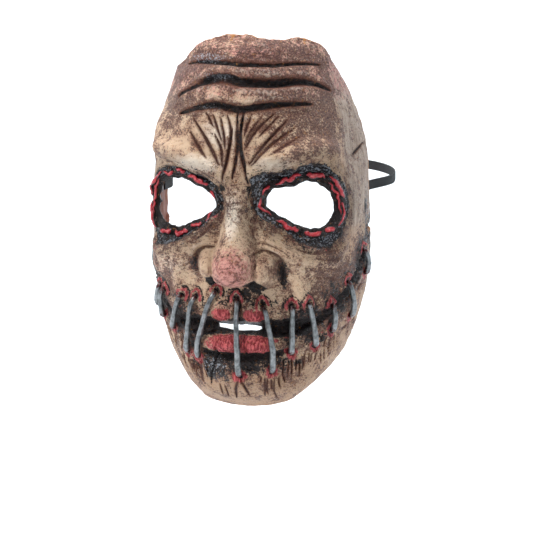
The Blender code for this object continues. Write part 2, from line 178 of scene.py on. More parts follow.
def ring_width(w, z):
    """The width of the black ring at the angle of each place."""
    angle = np.arctan2(z, np.abs(w) - EYE_CENTRE)
    right = curve_through(EYE_ANGLES, RING_RIGHT, angle)
    return np.where(w > 0, right, curve_through(EYE_ANGLES, RING_LEFT, angle))


def eye_gap(w, z):
    """Distance outward from the edge of the nearer eye hole, negative inside it.

    The radius past the edge's, shortened where the edge runs at a slant to the radius.
    """
    x = np.abs(w) - EYE_CENTRE
    angle, reach = np.arctan2(z, x), np.hypot(x, z)
    edge = eye_edge(angle, w)
    slant = (eye_edge(angle + 0.02, w) - eye_edge(angle - 0.02, w)) / 0.04 / edge
    return (reach - edge) / np.sqrt(1 + slant**2)


def mouth_gap(w, z):
    """Distance outward from the open middle of the mouth, negative inside it."""
    x, up = (w + 1) / 17.5, (z + 76.6 + 0.03 * w + 0.3 * lumps(w, z, 5, 70)) / 1.5
    size = (np.abs(x) ** 1.8 + np.abs(up) ** 1.8) ** (1 / 1.8)
    return (size - 1) * 1.5


def hole_gap(w, z):
    """Distance outward from the ragged edge of the nearest hole."""
    ragged = 0.55 * lumps(w, z, 3.2, 11) + 0.3 * lumps(w, z, 1.6, 12)
    return np.minimum(eye_gap(w, z) + ragged, mouth_gap(w, z))


def at_places(grid, a, b):
    """The grid's values at fractional rows and columns, even between its four neighbours."""
    i = np.clip(a.astype(int), 0, grid.shape[0] - 2)
    j = np.clip(b.astype(int), 0, grid.shape[1] - 2)
    p, q = a - i, b - j
    if grid.ndim == 3:
        p, q = p[..., None], q[..., None]
    top = grid[i, j] * (1 - q) + grid[i, j + 1] * q
    return top * (1 - p) + (grid[i + 1, j] * (1 - q) + grid[i + 1, j + 1] * q) * p


# The nose from its root to its base, forward of the plain skin, and its wings and nostrils.
Bridge = namedtuple("Bridge", "z reach half_width flank")
BRIDGES = (
    Bridge(-51.0, 0.0, 10.0, 0.9),
    Bridge(-47.8, 12.0, 13.0, 0.75),
    Bridge(-43.6, 22.8, 15.4, 0.62),
    Bridge(-37.0, 27.2, 16.4, 0.56),
    Bridge(-30.0, 25.2, 15.4, 0.6),
    Bridge(-22.5, 18.8, 12.0, 0.75),
    Bridge(-12.5, 13.0, 9.6, 0.9),
    Bridge(0.2, 8.2, 8.8, 1.0),
    Bridge(9.6, 4.2, 8.2, 1.2),
    Bridge(17.4, 0.0, 7.6, 1.3),
)
Wing = namedtuple("Wing", "across up half_width half_height reach")
WINGS = (Wing(17.4, -39.6, 8.4, 11.2, 16.0), Wing(-17.0, -37.0, 8.0, 9.8, 15.0))
NOSTRILS = (Wing(12.4, -48.4, 7.0, 4.6, 14.0), Wing(-15.4, -46.6, 5.6, 4.2, 12.0))


def nose(w, z):
    """How far the nose stands forward of the plain skin.

    The ridge is a dome across the nose, (1 - (w/half_width)^2)^flank, as wide and as far forward
    as the table says. A ball joins it on each side as the fourth root of the sum of fourth powers,
    with a crease between them, and the nostrils are taken out.
    """
    keys = [bridge.z for bridge in BRIDGES]
    reach, half_width, flank = (
        curve_through(keys, [getattr(bridge, name) for bridge in BRIDGES], z)
        for name in ("reach", "half_width", "flank")
    )
    total = reach * np.clip(1 - (w / half_width) ** 2, 0, 1) ** flank
    for wing in WINGS:
        away = np.hypot((w - wing.across) / wing.half_width, (z - wing.up) / wing.half_height)
        ball = wing.reach * np.clip(1 - away**2, 0, 1) ** 0.72
        total = (total**4 + ball**4) ** 0.25
    crease = bump(np.hypot((np.abs(w) - 13.2) / 2.3, (z + 36) / 12), 1)
    total = total - 5.0 * crease
    for hole in NOSTRILS:
        away = np.hypot((w - hole.across) / hole.half_width, (z - hole.up) / hole.half_height)
        total = total - hole.reach * bump(away, 1)
    return np.clip(total, 0, None)


# Swellings and hollows on both sides; turn lifts the outer end, in degrees.
Mound = namedtuple("Mound", "across up half_width half_height turn rise")
MOUNDS = (
    Mound(33.0, 32.0, 37.0, 12.5, 12, 3.0),  # brow
    Mound(83.0, 30.4, 22.0, 30.0, 0, -2.5),  # temple
    Mound(53.0, -35.1, 31.0, 15.0, -10, 4.0),  # cheekbone
    Mound(24.0, -20.0, 12.0, 11.0, -30, -2.6),  # beside the bridge
    Mound(0.0, -75.0, 42.0, 28.0, 0, 3.0),  # muzzle
    Mound(0.0, -107.0, 27.0, 14.0, 0, 4.0),  # chin
    Mound(10.8, -66.0, 10.0, 8.5, 6, 4.6),  # upper lip
    Mound(8.0, -87.0, 26.0, 7.6, -3, 6.0),  # lower lip
    Mound(16.0, 68.5, 44.0, 8.0, -2, 3.0),  # roll over the lowest crease
    Mound(14.0, 81.3, 44.0, 5.8, 0, 2.6),  # roll under the highest crease
    Mound(14.0, 95.0, 44.0, 8.0, 0, 2.2),  # roll over the highest crease
)

# Rounded ridges: the places they pass, half their width and how far they stand out.
Ridge = namedtuple("Ridge", "half_width rise places")
RIDGES = (
    Ridge(9.0, 4.4, ((9, 19), (17, 25), (30, 31.5), (46, 35), (64, 32))),
    Ridge(9.0, 4.4, ((-8.5, 17.5), (-16, 22.5), (-28, 28.5), (-42, 32), (-58, 33))),
    Ridge(16.0, 3.2, ((-64, 46), (-70, 38))),
    Ridge(6.5, 2.2, ((20, -19), (30, -27), (42, -31.5), (58, -32.5), (72, -27))),
    Ridge(6.0, 2.2, ((-18, -15), (-28, -23), (-42, -28), (-58, -31), (-68, -27))),
    Ridge(8.0, 3.4, ((22, -24), (31, -29), (36.5, -37), (38.5, -47), (40, -57))),
    Ridge(7.5, 3.0, ((-20, -22), (-30, -26), (-37, -33), (-40, -43), (-41, -54))),
    Ridge(5.0, 1.4, ((40, -22), (56, -24), (70, -20))),
)


def fold_distance(w, z, places):
    """Distance from a line through the places and the share of its length passed, for every
    point: the nearest of the straight pieces of a smooth curve through them."""
    places = np.array(places, float)
    keys = np.linspace(0, 1, len(places))
    fine = np.linspace(0, 1, 4 * len(places) - 3)
    line = np.stack([curve_through(keys, places[:, k], fine) for k in (0, 1)], axis=1)
    nearest, passed = np.full(w.shape, 1e3), np.zeros(w.shape)
    for k in range(len(line) - 1):
        step = line[k + 1] - line[k]
        reached = (w - line[k, 0]) * step[0] + (z - line[k, 1]) * step[1]
        part = np.clip(reached / (step @ step), 0, 1)
        away = np.hypot(w - line[k, 0] - part * step[0], z - line[k, 1] - part * step[1])
        closer = away < nearest
        nearest = np.where(closer, away, nearest)
        passed = np.where(closer, (k + part) / (len(line) - 1), passed)
    return nearest, passed


def forms(w, z):
    """Broad relief: the mounds, the ridges, the sunk black rings and the mouth's groove; each is a
    bump round its own centre or line."""
    height = np.zeros_like(w)
    for mound in MOUNDS:
        x, up, turn = np.abs(w) - mound.across, z - mound.up, math.radians(mound.turn)
        u = (x * math.cos(turn) + up * math.sin(turn)) / mound.half_width
        v = (up * math.cos(turn) - x * math.sin(turn)) / mound.half_height
        height += mound.rise * bump(np.hypot(u, v), 1)
    for ridge in RIDGES:
        height += ridge.rise * bump(fold_distance(w, z, ridge.places)[0], ridge.half_width)
    gap = eye_gap(w, z)
    share = gap / ring_width(w, z)
    sunk = ease(np.abs(w), 10, 20) * (1 - ease(np.abs(w), 46, 74))
    height -= 7.0 * sunk * (1 - ease(share, 0.45, 1.12))
    height += 1.8 * ease(gap, -9, 4) * (1 - ease(share, 0.55, 0.95))
    ends = 1 - ease(np.abs(w), 30, 45)
    return height - 5.5 * ends * bump(z + 76.5, 6.2)


def gash_line(w):
    """Height of the torn mouth line, which climbs to the ears past the corners."""
    return -77 + 0.19 * np.clip(np.abs(w) - 38, 0, None) ** 1.29


# Cuts and folds pressed into the skin: the places they pass, half their width and their depth.
Fold = namedtuple("Fold", "half_width depth paint places")
FOLDS = (
    Fold(1.9, 2.6, 1.0, ((-41, 86), (-24, 87.7), (3, 86.3), (19, 85.7), (35, 86.6), (53, 86))),
    Fold(3.2, 4.2, 1.0, ((-44, 66), (-32, 71.8), (-18, 77), (-7, 77.9), (3, 75.6), (20, 74.8),
                         (36, 76), (50, 74.3), (63, 70))),
    Fold(3.0, 4.0, 1.0, ((-41, 55.7), (-28, 59.4), (-15, 61.5), (-6, 60.2), (2, 59.2), (13, 60.6),
                         (28, 62.3), (47, 62.2))),
    Fold(1.4, 2.4, 0.55, ((0.5, 59), (0.2, 45), (0.4, 34), (-1.2, 24), (-2.6, 16))),
    Fold(1.7, 2.8, 0.85, ((4.6, 58), (2.2, 45), (2.7, 34), (4.8, 25.7), (8.0, 14))),
    Fold(1.4, 2.6, 0.3, ((-2.8, 48), (-5.4, 32), (-8.2, 15))),
    Fold(1.11, 1.2, 0.1, ((-20, 57), (-15, 48))),
    Fold(1.11, 1.4, 0.1, ((-15.5, 56), (-12.8, 48.5), (-9.6, 40))),
    Fold(1.18, 1.5, 0.1, ((-10.7, 55), (-8.4, 44), (-7.0, 34))),
    Fold(1.11, 1.3, 0.1, ((-6.0, 56), (-4.0, 48), (-3.4, 40))),
    Fold(1.18, 1.5, 0.2, ((-14.4, 44.4), (-9.7, 34.8), (-8.6, 24))),
    Fold(1.4, 1.8, 0.2, ((-30, 54), (-18.5, 39), (-10, 25))),
    Fold(1.25, 1.6, 0.2, ((-32, 45.5), (-25.5, 38), (-18, 29.5))),
    Fold(1.32, 1.7, 0.2, ((24, 58), (12, 46.6), (4.8, 34.5))),
    Fold(1.4, 1.9, 0.3, ((32, 54), (18.8, 40), (8.0, 26))),
    Fold(1.04, 1.3, 0.1, ((16, 56), (8.9, 46.5), (5, 38))),
    Fold(1.04, 1.2, 0.1, ((9.5, 57), (6.3, 49), (4.4, 42))),
    Fold(1.18, 1.5, 0.2, ((37, 49), (22, 38.6), (9.6, 25))),
    Fold(1.04, 1.1, 0.1, ((27, 57), (20, 49.5), (13, 42))),
    Fold(1.04, 1.1, 0.1, ((39, 43), (30, 38), (20, 31.5))),
    Fold(1.9, 2.2, 0.0, ((11, -27.5), (19, -27.5), (25.5, -31), (28, -38), (28, -46), (26, -52))),
    Fold(1.9, 2.2, 0.0, ((-11, -26.5), (-19, -26), (-25, -29), (-27.2, -35), (-26.5, -43))),
    Fold(1.3, 1.6, 0.0, ((10, -23), (18, -23), (27, -26), (33, -31))),
    Fold(2.0, 1.2, 0.0, ((8.5, 12), (9.5, 4), (12, -6), (15.5, -14), (16.5, -23))),
    Fold(1.4, 1.2, 0.0, ((12, -7), (19, -17), (29, -24), (41, -29))),
    Fold(1.2, 1.0, 0.0, ((22, -16), (31, -23), (42, -27.5), (54, -29.5))),
    Fold(1.2, 1.0, 0.0, ((-14, -9), (-22, -18), (-32, -25), (-43, -29))),
    Fold(1.3, 0.9, 0.0, ((30, -30), (44, -31), (60, -33), (76, -30))),
    Fold(1.3, 0.9, 0.0, ((34, -37), (46, -37), (62, -40), (78, -38))),
    Fold(1.3, 0.8, 0.0, ((40, -45), (52, -44.5), (66, -47), (79, -44))),
    Fold(1.3, 0.8, 0.0, ((-33, -31), (-48, -30), (-62, -33))),
    Fold(1.3, 0.8, 0.0, ((-36, -39), (-50, -38), (-64, -41))),
    Fold(1.1, 1.6, 0.8, ((85, 27.5), (92, 31), (101, 34.5), (110, 36))),
    Fold(1.1, 1.6, 0.8, ((-87, 26), (-95, 29.5), (-106, 33))),
    Fold(1.0, 1.6, 0.9, ((4.5, -81), (5.5, -87), (5, -94))),
    Fold(1.0, 1.4, 0.9, ((20.5, -80), (19.5, -86), (20.5, -92))),
    Fold(1.2, 1.4, 0.9, ((33, -80), (44, -76), (58, -71), (70, -66))),
    Fold(1.2, 1.7, 1.0, ((-10.9, -82), (-15, -98), (-20.4, -115))),
    Fold(1.1, 1.1, 0.4, ((0.6, -108), (-2, -115), (-3.4, -123))),
    Fold(1.1, 1.1, 0.4, ((1.6, -108), (4, -115), (5.4, -121))),
    Fold(0.82, 0.8, 0.1, ((-9, -113), (-8.4, -122))),
    Fold(0.82, 0.8, 0.1, ((-12.5, -112), (-12.5, -121))),
    Fold(1.4, 1.3, 1.0, ((70, -66), (80, -60), (92, -50), (104, -39), (116, -30))),
    Fold(1.4, 1.3, 1.0, ((-72, -66), (-82, -58), (-94, -48), (-108, -36), (-118, -28))),
    Fold(1.4, 1.4, 0.9, ((88, -70), (94, -79), (99, -88))),
    Fold(1.4, 1.4, 0.9, ((104, 8), (107, -8), (110, -22), (112, -30))),
    Fold(1.4, 1.3, 0.8, ((-103, 6), (-107, -10), (-110, -26))),
    Fold(1.1, 1.0, 0.8, ((113, -2), (116, -16), (117, -30))),
)

# Thirteen stitches, from their upper to their lower ends.
Stitch = namedtuple("Stitch", "name top_w top_z bottom_w bottom_z")
STITCHES = (
    Stitch("stitch_centre", -0.8, -57.8, 0.8, -106.7),
    Stitch("stitch_right_1", 15.3, -60.6, 20.2, -104.8),
    Stitch("stitch_right_2", 33.4, -61.8, 33.1, -93.1),
    Stitch("stitch_right_3", 43.8, -60.1, 49.6, -89.2),
    Stitch("stitch_right_4", 61.9, -63.4, 62.6, -81.0),
    Stitch("stitch_right_5", 77.8, -49.8, 82.7, -74.2),
    Stitch("stitch_right_6", 102.2, -32.1, 105.6, -48.9),
    Stitch("stitch_left_1", -13.9, -53.4, -28.9, -97.8),
    Stitch("stitch_left_2", -28.2, -57.8, -37.8, -95.5),
    Stitch("stitch_left_3", -38.2, -57.8, -50.6, -81.0),
    Stitch("stitch_left_4", -57.7, -56.9, -64.5, -75.8),
    Stitch("stitch_left_5", -66.7, -54.8, -74.5, -70.0),
    Stitch("stitch_left_6", -102.2, -32.1, -105.6, -48.9),
)


def puckers():
    """Short upright wrinkles under each stitch's lower end, fanning out a little."""
    rng = np.random.default_rng(5)
    found = []
    for stitch in STITCHES[1:]:
        centre = np.sign(stitch.bottom_w) * min(abs(stitch.bottom_w), 100)
        for place in np.linspace(-7.5, 7.5, 7) + rng.uniform(-0.8, 0.8, 7):
            top = stitch.bottom_z - rng.uniform(1.0, 4.5)
            long = rng.uniform(7, 18) * (1 - 0.05 * abs(place))
            w = centre + place
            bend = rng.uniform(-0.8, 0.8)
            places = ((w, top), (w + 0.06 * place + bend, top - 0.5 * long),
                      (w + 0.16 * place, top - long))
            found.append(Fold(rng.uniform(0.6, 0.95), rng.uniform(0.7, 1.3), 0.1, places))
    return tuple(found)


def spread(crowding, count):
    """Shares from 0 to 1, closer together where crowding is larger: they cut the area under it
    into equal parts."""
    area = np.concatenate([[0], np.cumsum(0.5 * (crowding[1:] + crowding[:-1]))])
    return np.interp(np.linspace(0, area[-1], count), area, np.linspace(0, 1, len(crowding)))


def skin_rows_and_columns():
    """Rows spaced by length along the face's middle, nose included; columns closer together in
    the middle 140 mm."""
    down = np.linspace(0, 1, 3000)
    middle = plain_skin(down, np.zeros(1))[0][:, 0]
    middle[:, 1] -= 0.8 * nose(np.zeros(len(down)), middle[:, 2])
    crowding = np.linalg.norm(np.gradient(middle, axis=0), axis=1)
    across = np.linspace(-1, 1, 3000)
    width = np.abs(across) * 122
    beside = 0.42 + 0.58 * (1 - ease(width, 60, 90)) + 0.35 * bump(width, 16)
    return spread(crowding, ROWS), 2 * spread(beside, COLUMNS) - 1


def shift_to_holes(w, z):
    """Fractional rows and columns that bring a line of grid points onto the holes' edges.

    Each round moves the points near a hole halfway to the middle of their neighbours, then those
    at its edge onto the edge, straight down the slope of the distance to it.
    """
    a, b = np.meshgrid(np.arange(ROWS, dtype=float), np.arange(COLUMNS, dtype=float), indexing="ij")
    gap = hole_gap(w, z)
    kept = 0.25 * (gap[:-1, :-1] + gap[1:, :-1] + gap[:-1, 1:] + gap[1:, 1:]) > 0
    beside = np.zeros((4, ROWS, COLUMNS), bool)
    beside[0, :-1, :-1] = beside[1, 1:, :-1] = beside[2, :-1, 1:] = beside[3, 1:, 1:] = True
    touches = np.zeros((4, ROWS, COLUMNS), bool)
    touches[0, :-1, :-1] = kept
    touches[1, 1:, :-1] = kept
    touches[2, :-1, 1:] = kept
    touches[3, 1:, 1:] = kept
    used = touches.any(axis=0)
    edge = used & (beside & ~touches).any(axis=0)
    near = used & (gap < 5)
    near[[0, -1]] = near[:, [0, -1]] = False
    weight = used.astype(float)
    for _ in range(30):
        total = sum(np.roll(weight, shift, axis) for shift in (-1, 1) for axis in (0, 1))
        total = np.maximum(total, 1)
        mean_a, mean_b = (
            sum(
                np.roll(weight * field, shift, axis) for shift in (-1, 1) for axis in (0, 1)
            ) / total
            for field in (a, b)
        )
        a, b = np.where(near, 0.5 * (a + mean_a), a), np.where(near, 0.5 * (b + mean_b), b)
        for _ in range(2):
            here_a, here_b = a[edge], b[edge]
            gaps = [
                hole_gap(at_places(w, here_a + p, here_b + q), at_places(z, here_a + p, here_b + q))
                for p, q in ((0, 0), (0.05, 0), (0, 0.05))
            ]
            slope_a, slope_b = (gaps[1] - gaps[0]) / 0.05, (gaps[2] - gaps[0]) / 0.05
            step = 0.7 * gaps[0] / np.maximum(slope_a**2 + slope_b**2, 1e-6)
            a[edge] -= np.clip(step * slope_a, -0.6, 0.6)
            b[edge] -= np.clip(step * slope_b, -0.6, 0.6)
    return a, b, kept


# How much lower the top edge is cut at each place across, in millimetres.
TRIM_ACROSS = (-76, -60, -50, -43, -35, -28, -20, -12, 4, 10, 15.5, 21, 27, 34, 60)
TRIM_DEPTH = (14.0, 19.0, 18.0, 15.5, 11.0, 7.0, 2.8, 0.0, 0.6, 2.8, 5.4, 3.2, 3.4, 0.6, 0.0)
TRIMMED_ROWS = 44

down, across = skin_rows_and_columns()
plain, w = plain_skin(down, across)
a, b, kept = shift_to_holes(w, plain[..., 2])
row_step = np.linalg.norm(np.diff(plain[:TRIMMED_ROWS, COLUMNS // 2], axis=0), axis=1).mean()
trimmed = np.interp(at_places(w, a, b), TRIM_ACROSS, TRIM_DEPTH) / row_step
a = np.where(a < TRIMMED_ROWS, trimmed + a * (1 - trimmed / TRIMMED_ROWS), a)
plain, w = at_places(plain, a, b), at_places(w, a, b)
z = plain[..., 2].copy()
skin = plain + normals_of(plain) * forms(w, z)[..., None]
reach = nose(w, z)
skin[..., 1] -= reach
skin[..., 2] -= 0.12 * reach

gap = eye_gap(w, z)
ring = ring_width(w, z)
eye_angle = np.arctan2(z, np.abs(w) - EYE_CENTRE)
round_w, round_z = 24 * np.cos(eye_angle) + 90 * np.sign(w), 24 * np.sin(eye_angle)
ring_edge = 1 + 0.09 * lumps(round_w, round_z, 6, 86) + 0.07 * lumps(w, z, 2.4, 87)
share = gap / ring / ring_edge
mouth = mouth_gap(w, z)
gash = np.abs(z - gash_line(w)) * ease(np.abs(w), 34, 40) + 40 * (1 - ease(np.abs(w), 34, 40))

# Relief in detail, in millimetres along the skin's normal.
relief = 0.30 * lumps(w, z, 13, 20) + 0.20 * rough(w, z, 5, 21)
forehead = ease(z, 48, 60) * (1 - ease(np.abs(w), 60, 72))
relief += forehead * 0.60 * rough(w * 0.45, z, 3.6, 24)
cheek = bump(np.hypot((np.abs(w) - 62) / 34, (z + 42) / 24), 1)
from_nose = np.hypot(np.abs(w) - 14, z + 38)
turn_nose = np.arctan2(z + 38, np.abs(w) - 14)
relief += cheek * 0.55 * lumps(turn_nose * 22, from_nose, 3.2, 27)

torn = ease(gap, 0.2, 2.2) * (1 - ease(share, 0.9, 1.1))
relief -= 1.5 * (1 - ease(gap, 0, 2.2))
flaps = 0.75 + 0.6 * lumps(round_w, round_z + gap * 0.6, 7.5, 31)
relief += 1.2 * np.clip(flaps, 0, 1.4) * bump(gap - 4.6, 2.4)
relief -= 1.4 * bump(share - 0.76, 0.22)
relief += torn * 0.8 * lumps(round_w * 0.45, round_z * 0.45 + gap, 1.9, 33)
beyond = ease(share, 0.9, 1.1) * (1 - ease(gap - ring, 6, 12))
relief += beyond * 0.6 * lumps(round_w * 0.25, round_z * 0.25 + gap, 2.2, 36)

lips = (1 - ease(np.abs(w), 30, 40)) * bump(z + 79, 18)
relief += lips * 0.6 * lumps(w, z * 0.25, 1.8, 41)
deep = (1 - ease(np.abs(w), 35, 44)) * ease(np.abs(w), 14, 22)
relief -= (0.6 + 2.4 * deep) * bump(z + 76.6 + 0.6 * lumps(w, z, 6, 42), 5.0) * (np.abs(w) < 44)
relief -= 2.4 * bump(w, 4.0) * bump(z + 65, 10)
under_lip = z + 94.8 - 0.0040 * w**2
relief -= 2.8 * (1 - ease(np.abs(w - 4), 26, 38)) * bump(under_lip, 3.4)

gash_band = ease(np.abs(w), 12, 42) * bump(z - gash_line(w) - 1, 34)
gash_band *= 1 - 0.5 * ease(np.abs(w), 105, 118)
torn_band = ease(gash_band + 0.20 * rough(w, z, 9, 51), 0.0, 0.95)
relief += torn_band * (1.5 * rough(w, z, 5.5, 45) + 0.7 * lumps(w, z * 0.5, 2.2, 48))
relief -= 2.2 * bump(gash + 0.9 * lumps(w, z, 4, 49), 3.4)
chin_patch = bump(np.hypot((w + 14) / 30, (z + 100) / 19), 1)
chin_patch = np.maximum(chin_patch, bump(np.hypot((w - 15) / 36, (z + 97) / 15), 1))
chin_patch = ease(chin_patch + 0.22 * rough(w, z, 7, 53), 0.05, 0.75)
relief += chin_patch * 0.9 * rough(w, z, 3.4, 52)
side_streaks = ease(np.abs(w), 72, 88)
relief += side_streaks * 0.30 * lumps(w, z * 0.25, 3.2, 55)

fold_paint = np.zeros_like(w)
line_distance = np.full_like(w, 4.0)
from_crease = np.full_like(w, 40.0)
for fold in FOLDS + puckers():
    away, passed = fold_distance(w, z, fold.places)
    thick = 0.35 + 0.65 * (1 - np.abs(2 * passed - 1) ** 2.5)
    fold_share = away / (fold.half_width * thick)
    relief -= fold.depth * thick * np.clip(1 - fold_share, 0, 1) ** 1.3
    relief += 0.28 * fold.depth * thick * bump(fold_share - 1.6, 0.9)
    fold_paint = np.maximum(fold_paint, fold.paint * bump(fold_share, 1.15))
    if fold.paint > 0:
        line_distance = np.minimum(line_distance, fold_share)
    if fold.depth > 2.5 and fold.paint > 0.9:
        from_crease = np.minimum(from_crease, away)

wound_red, wound_dark, stitch_shade = np.zeros_like(w), np.zeros_like(w), np.zeros_like(w)
for stitch in STITCHES:
    along_w, along_z = stitch.bottom_w - stitch.top_w, stitch.bottom_z - stitch.top_z
    length = math.hypot(along_w, along_z)
    along_w, along_z = along_w / length, along_z / length
    u = (w - stitch.top_w) * along_z - (z - stitch.top_z) * along_w
    v = -(w - stitch.top_w) * along_w - (z - stitch.top_z) * along_z
    arch = (np.abs(u) ** 1.3 + np.abs(np.clip(v, -0.5, None) / 1.25) ** 1.3) ** (1 / 1.3)
    arch += 0.3 * lumps(w, z, 1.8, 60)
    above = ease(v, -4.5, -1.0)
    relief += 1.2 * above * bump(arch - 3.5, 1.6) - 1.7 * bump(np.hypot(u, v), 2.6)
    relief -= 0.7 * above * bump(arch - 5.3, 1.2)
    wound_red = np.maximum(wound_red, above * bump(arch - 3.6, 1.7))
    dark = np.maximum(bump(np.hypot(u, v), 2.4), 0.85 * above * bump(arch - 5.2, 1.0))
    wound_dark = np.maximum(wound_dark, np.maximum(dark, 0.7 * above * bump(arch - 2.0, 0.9)))
    below = np.hypot(w - stitch.bottom_w, z - stitch.bottom_z) + 0.8 * lumps(w, z, 2.4, 61)
    relief -= 1.3 * bump(below, 2.9)
    wound_red = np.maximum(wound_red, 0.8 * bump(below - 2.6, 3.2))
    wound_red = np.maximum(wound_red, 0.34 * bump(below, 9))
    wound_dark = np.maximum(wound_dark, bump(below, 2.8))
    inside = ease(-v, 0, 3) * ease(v + length, 0, 3)
    stitch_shade = np.maximum(stitch_shade, inside * bump(u, 3.4))

tip = np.hypot(w / 17, (z + 37) / 19)
on_nose = bump(np.hypot(w / 24, (z + 26) / 36), 1)
relief += on_nose * 0.25 * lumps(w, z, 1.5, 65)
relief -= 0.4 * ease(np.abs(w), 112, 119) * (0.5 + 0.5 * lumps(w, z, 5, 67))

skin = skin + normals_of(skin) * relief[..., None]
top_rows = 1 - ease(np.arange(ROWS)[:, None], 0, 12)
skin[..., 2] += top_rows * (0.7 * lumps(w, z * 0, 7, 68) + 0.4 * lumps(w, z * 0, 2.5, 69))
skin_normals = normals_of(skin)

# Where each paint goes, from 0 to 1. Some of them also carry painted shade and painted highlight,
# as said at each.
patches = rough(w, z, 22, 80)
mottle = rough(w, z, 7, 83)
# A ramp from left to right; the skin is painted darker and less pale towards the right with it, as
# painted shade.
right = ease(w, -20, 60)
# Black paint, and painted shade where black stands only for shade: under the nose, beside the nose
# wings and beside the stitches.
black_and_shade = 1 - ease(share, 0.92, 1.06)
black_and_shade = np.maximum(black_and_shade, 0.30 * (1 - ease(gap - ring, 0, 9)))
wedge = bump(np.hypot((np.abs(w) - 9) / 6, (z - 11) / 5), 1)
black_and_shade = np.maximum(black_and_shade, 0.8 * wedge)
black_and_shade = np.maximum(black_and_shade, fold_paint)
groove = (1 - ease(np.abs(w), 42, 52)) * bump(z + 76.0 + 1.0 * lumps(w, z, 8, 90), 9.0)
black_and_shade = np.maximum(black_and_shade, ease(groove, 0.12, 0.45))
black_and_shade = np.maximum(black_and_shade, (1 - ease(np.abs(w - 5), 26, 38)) * bump(under_lip + 1, 4.5))
black_and_shade = np.maximum(black_and_shade, bump(gash, 7.0) * 0.95)
black_and_shade = np.maximum(black_and_shade, torn_band * np.clip(0.52 + 0.50 * mottle, 0, 0.9))
muzzle = bump(np.hypot(w / 40, (z + 62) / 13), 1)
black_and_shade = np.maximum(black_and_shade, ease(muzzle, 0, 0.5) * np.clip(0.34 + 0.4 * mottle, 0, 0.8))
black_and_shade = np.maximum(black_and_shade, chin_patch * np.clip(0.70 + 0.4 * mottle, 0, 0.95))
black_and_shade = np.maximum(black_and_shade, 0.75 * stitch_shade * bump(z - gash_line(w), 22))
# Painted shadow: black under the nose.
under_nose_shadow = bump(np.hypot((w - 4) / 20, (z + 54) / 5), 1)
black_and_shade = np.maximum(black_and_shade, ease(under_nose_shadow, 0.1, 0.6) * 0.62)
# Black in and round the nostril dents: black paint round them, and painted shade of the openings in
# them.
for hole in NOSTRILS:
    away = np.hypot(
        (w - hole.across) / (hole.half_width + 2), (z - hole.up) / (hole.half_height + 2.2)
    )
    black_and_shade = np.maximum(black_and_shade, ease(bump(away, 1), 0.05, 0.35))
# Painted shade: black beside the nose wings, the right one heavier.
beside_nose_shade = bump(np.hypot((w - 28.5) / 6.5, (z + 42) / 15), 1)
beside_nose_shade = np.maximum(beside_nose_shade, 0.7 * bump(np.hypot((w + 28) / 6, (z + 38) / 13), 1))
black_and_shade = np.maximum(black_and_shade, 0.9 * beside_nose_shade)
philtrum = bump(w, 4.5) * bump(z + 63, 9)
black_and_shade = np.maximum(black_and_shade, 0.65 * philtrum)
far_side = ease(np.abs(w), 98, 112) * bump(z + 20, 50)
black_and_shade = np.maximum(black_and_shade, far_side * np.clip(0.45 + 0.8 * lumps(w, z * 0.25, 4, 92), 0, 1))

upper_lip = bump(np.hypot((np.abs(w) - 10.4) / 9.6, (z + 67.6) / 6.2), 1)
lower_lip = bump(np.hypot((w - 2) / 36, (z + 86.2) / 8.6), 1)
lower_lip *= 1 - 0.85 * ease(w, 19, 23) * ease(-z, 83.5, 86)
lip_red = np.maximum(ease(upper_lip, 0.05, 0.5) * ease(-z, 60, 66), ease(lower_lip, 0.15, 0.4))
black_and_shade = black_and_shade * (1 - 0.95 * lip_red)
black_and_shade = np.maximum(black_and_shade * (1 - 0.85 * wound_red), wound_dark)
flesh = np.maximum(lip_red * (1 - 0.35 * ease(-w, 8, 16)), wound_red)
flesh = np.maximum(flesh, 0.50 * bump(gap - 5.0, 2.4) * np.clip(flaps, 0, 1))
rim_lines = bump(share - 1.12 - 0.12 * lumps(round_w, round_z, 5, 94), 0.10)
flesh = np.maximum(flesh, 0.5 * rim_lines * np.clip(0.4 + lumps(round_w, round_z, 9, 95), 0, 1))
flesh = np.maximum(flesh, 0.62 * torn_band * np.clip(rough(w, z, 4, 96) - 0.05, 0, 1))
flesh = np.maximum(flesh, 0.40 * chin_patch * np.clip(rough(w, z, 5, 97), 0, 1))

blush = bump(tip, 1.0) ** 0.45
blush = np.maximum(blush, 0.75 * bump(np.hypot((w - 12) / 50, (z - 92) / 14), 1))
blush = np.maximum(blush, 0.50 * ease(z, 58, 72))
blush = np.maximum(blush, 0.35 * cheek * (w < 0))
blush = np.maximum(blush, 0.45 * bump(np.hypot(w / 34, (z + 64) / 12), 1))

crease_shade = bump(from_crease, 8.5)
# Rubbed brown, mottled, with painted shade in it: more on the right forehead and right cheek,
# beside the nose and the bridge, and on the chin; less on the lit brows and left forehead.
grime_and_shade = 0.26 + 0.16 * patches
grime_and_shade += forehead * (0.34 + 0.08 * right + 0.20 * patches) + 0.34 * crease_shade
grime_and_shade += 0.55 * bump(np.hypot((w - 44) / 36, (z - 46) / 24), 1)
grime_and_shade += 0.22 * bump(np.hypot((w + 52) / 16, (z - 52) / 24), 1)
grime_and_shade += 0.32 * (1 - ease(gap - ring, 0, 9)) * (1 - ease(z, 0, 22))
grime_and_shade += cheek * (0.18 + 0.42 * right)
grime_and_shade += torn_band * 0.42 + 0.5 * beside_nose_shade + 0.20 * muzzle
grime_and_shade += 0.35 * bump(np.hypot((np.abs(w) - 17) / 10, (z + 12) / 14), 1) * (0.5 + 0.5 * right)
grime_and_shade += 0.34 * bump(np.hypot(w / 50, (z + 98) / 25), 1)
grime_and_shade += 0.45 * bump(np.hypot((w - 61) / 9, (z - 60) / 50), 1)
grime_and_shade -= 0.35 * bump(np.hypot((np.abs(w) - 24) / 26, (z - 26) / 9), 1)
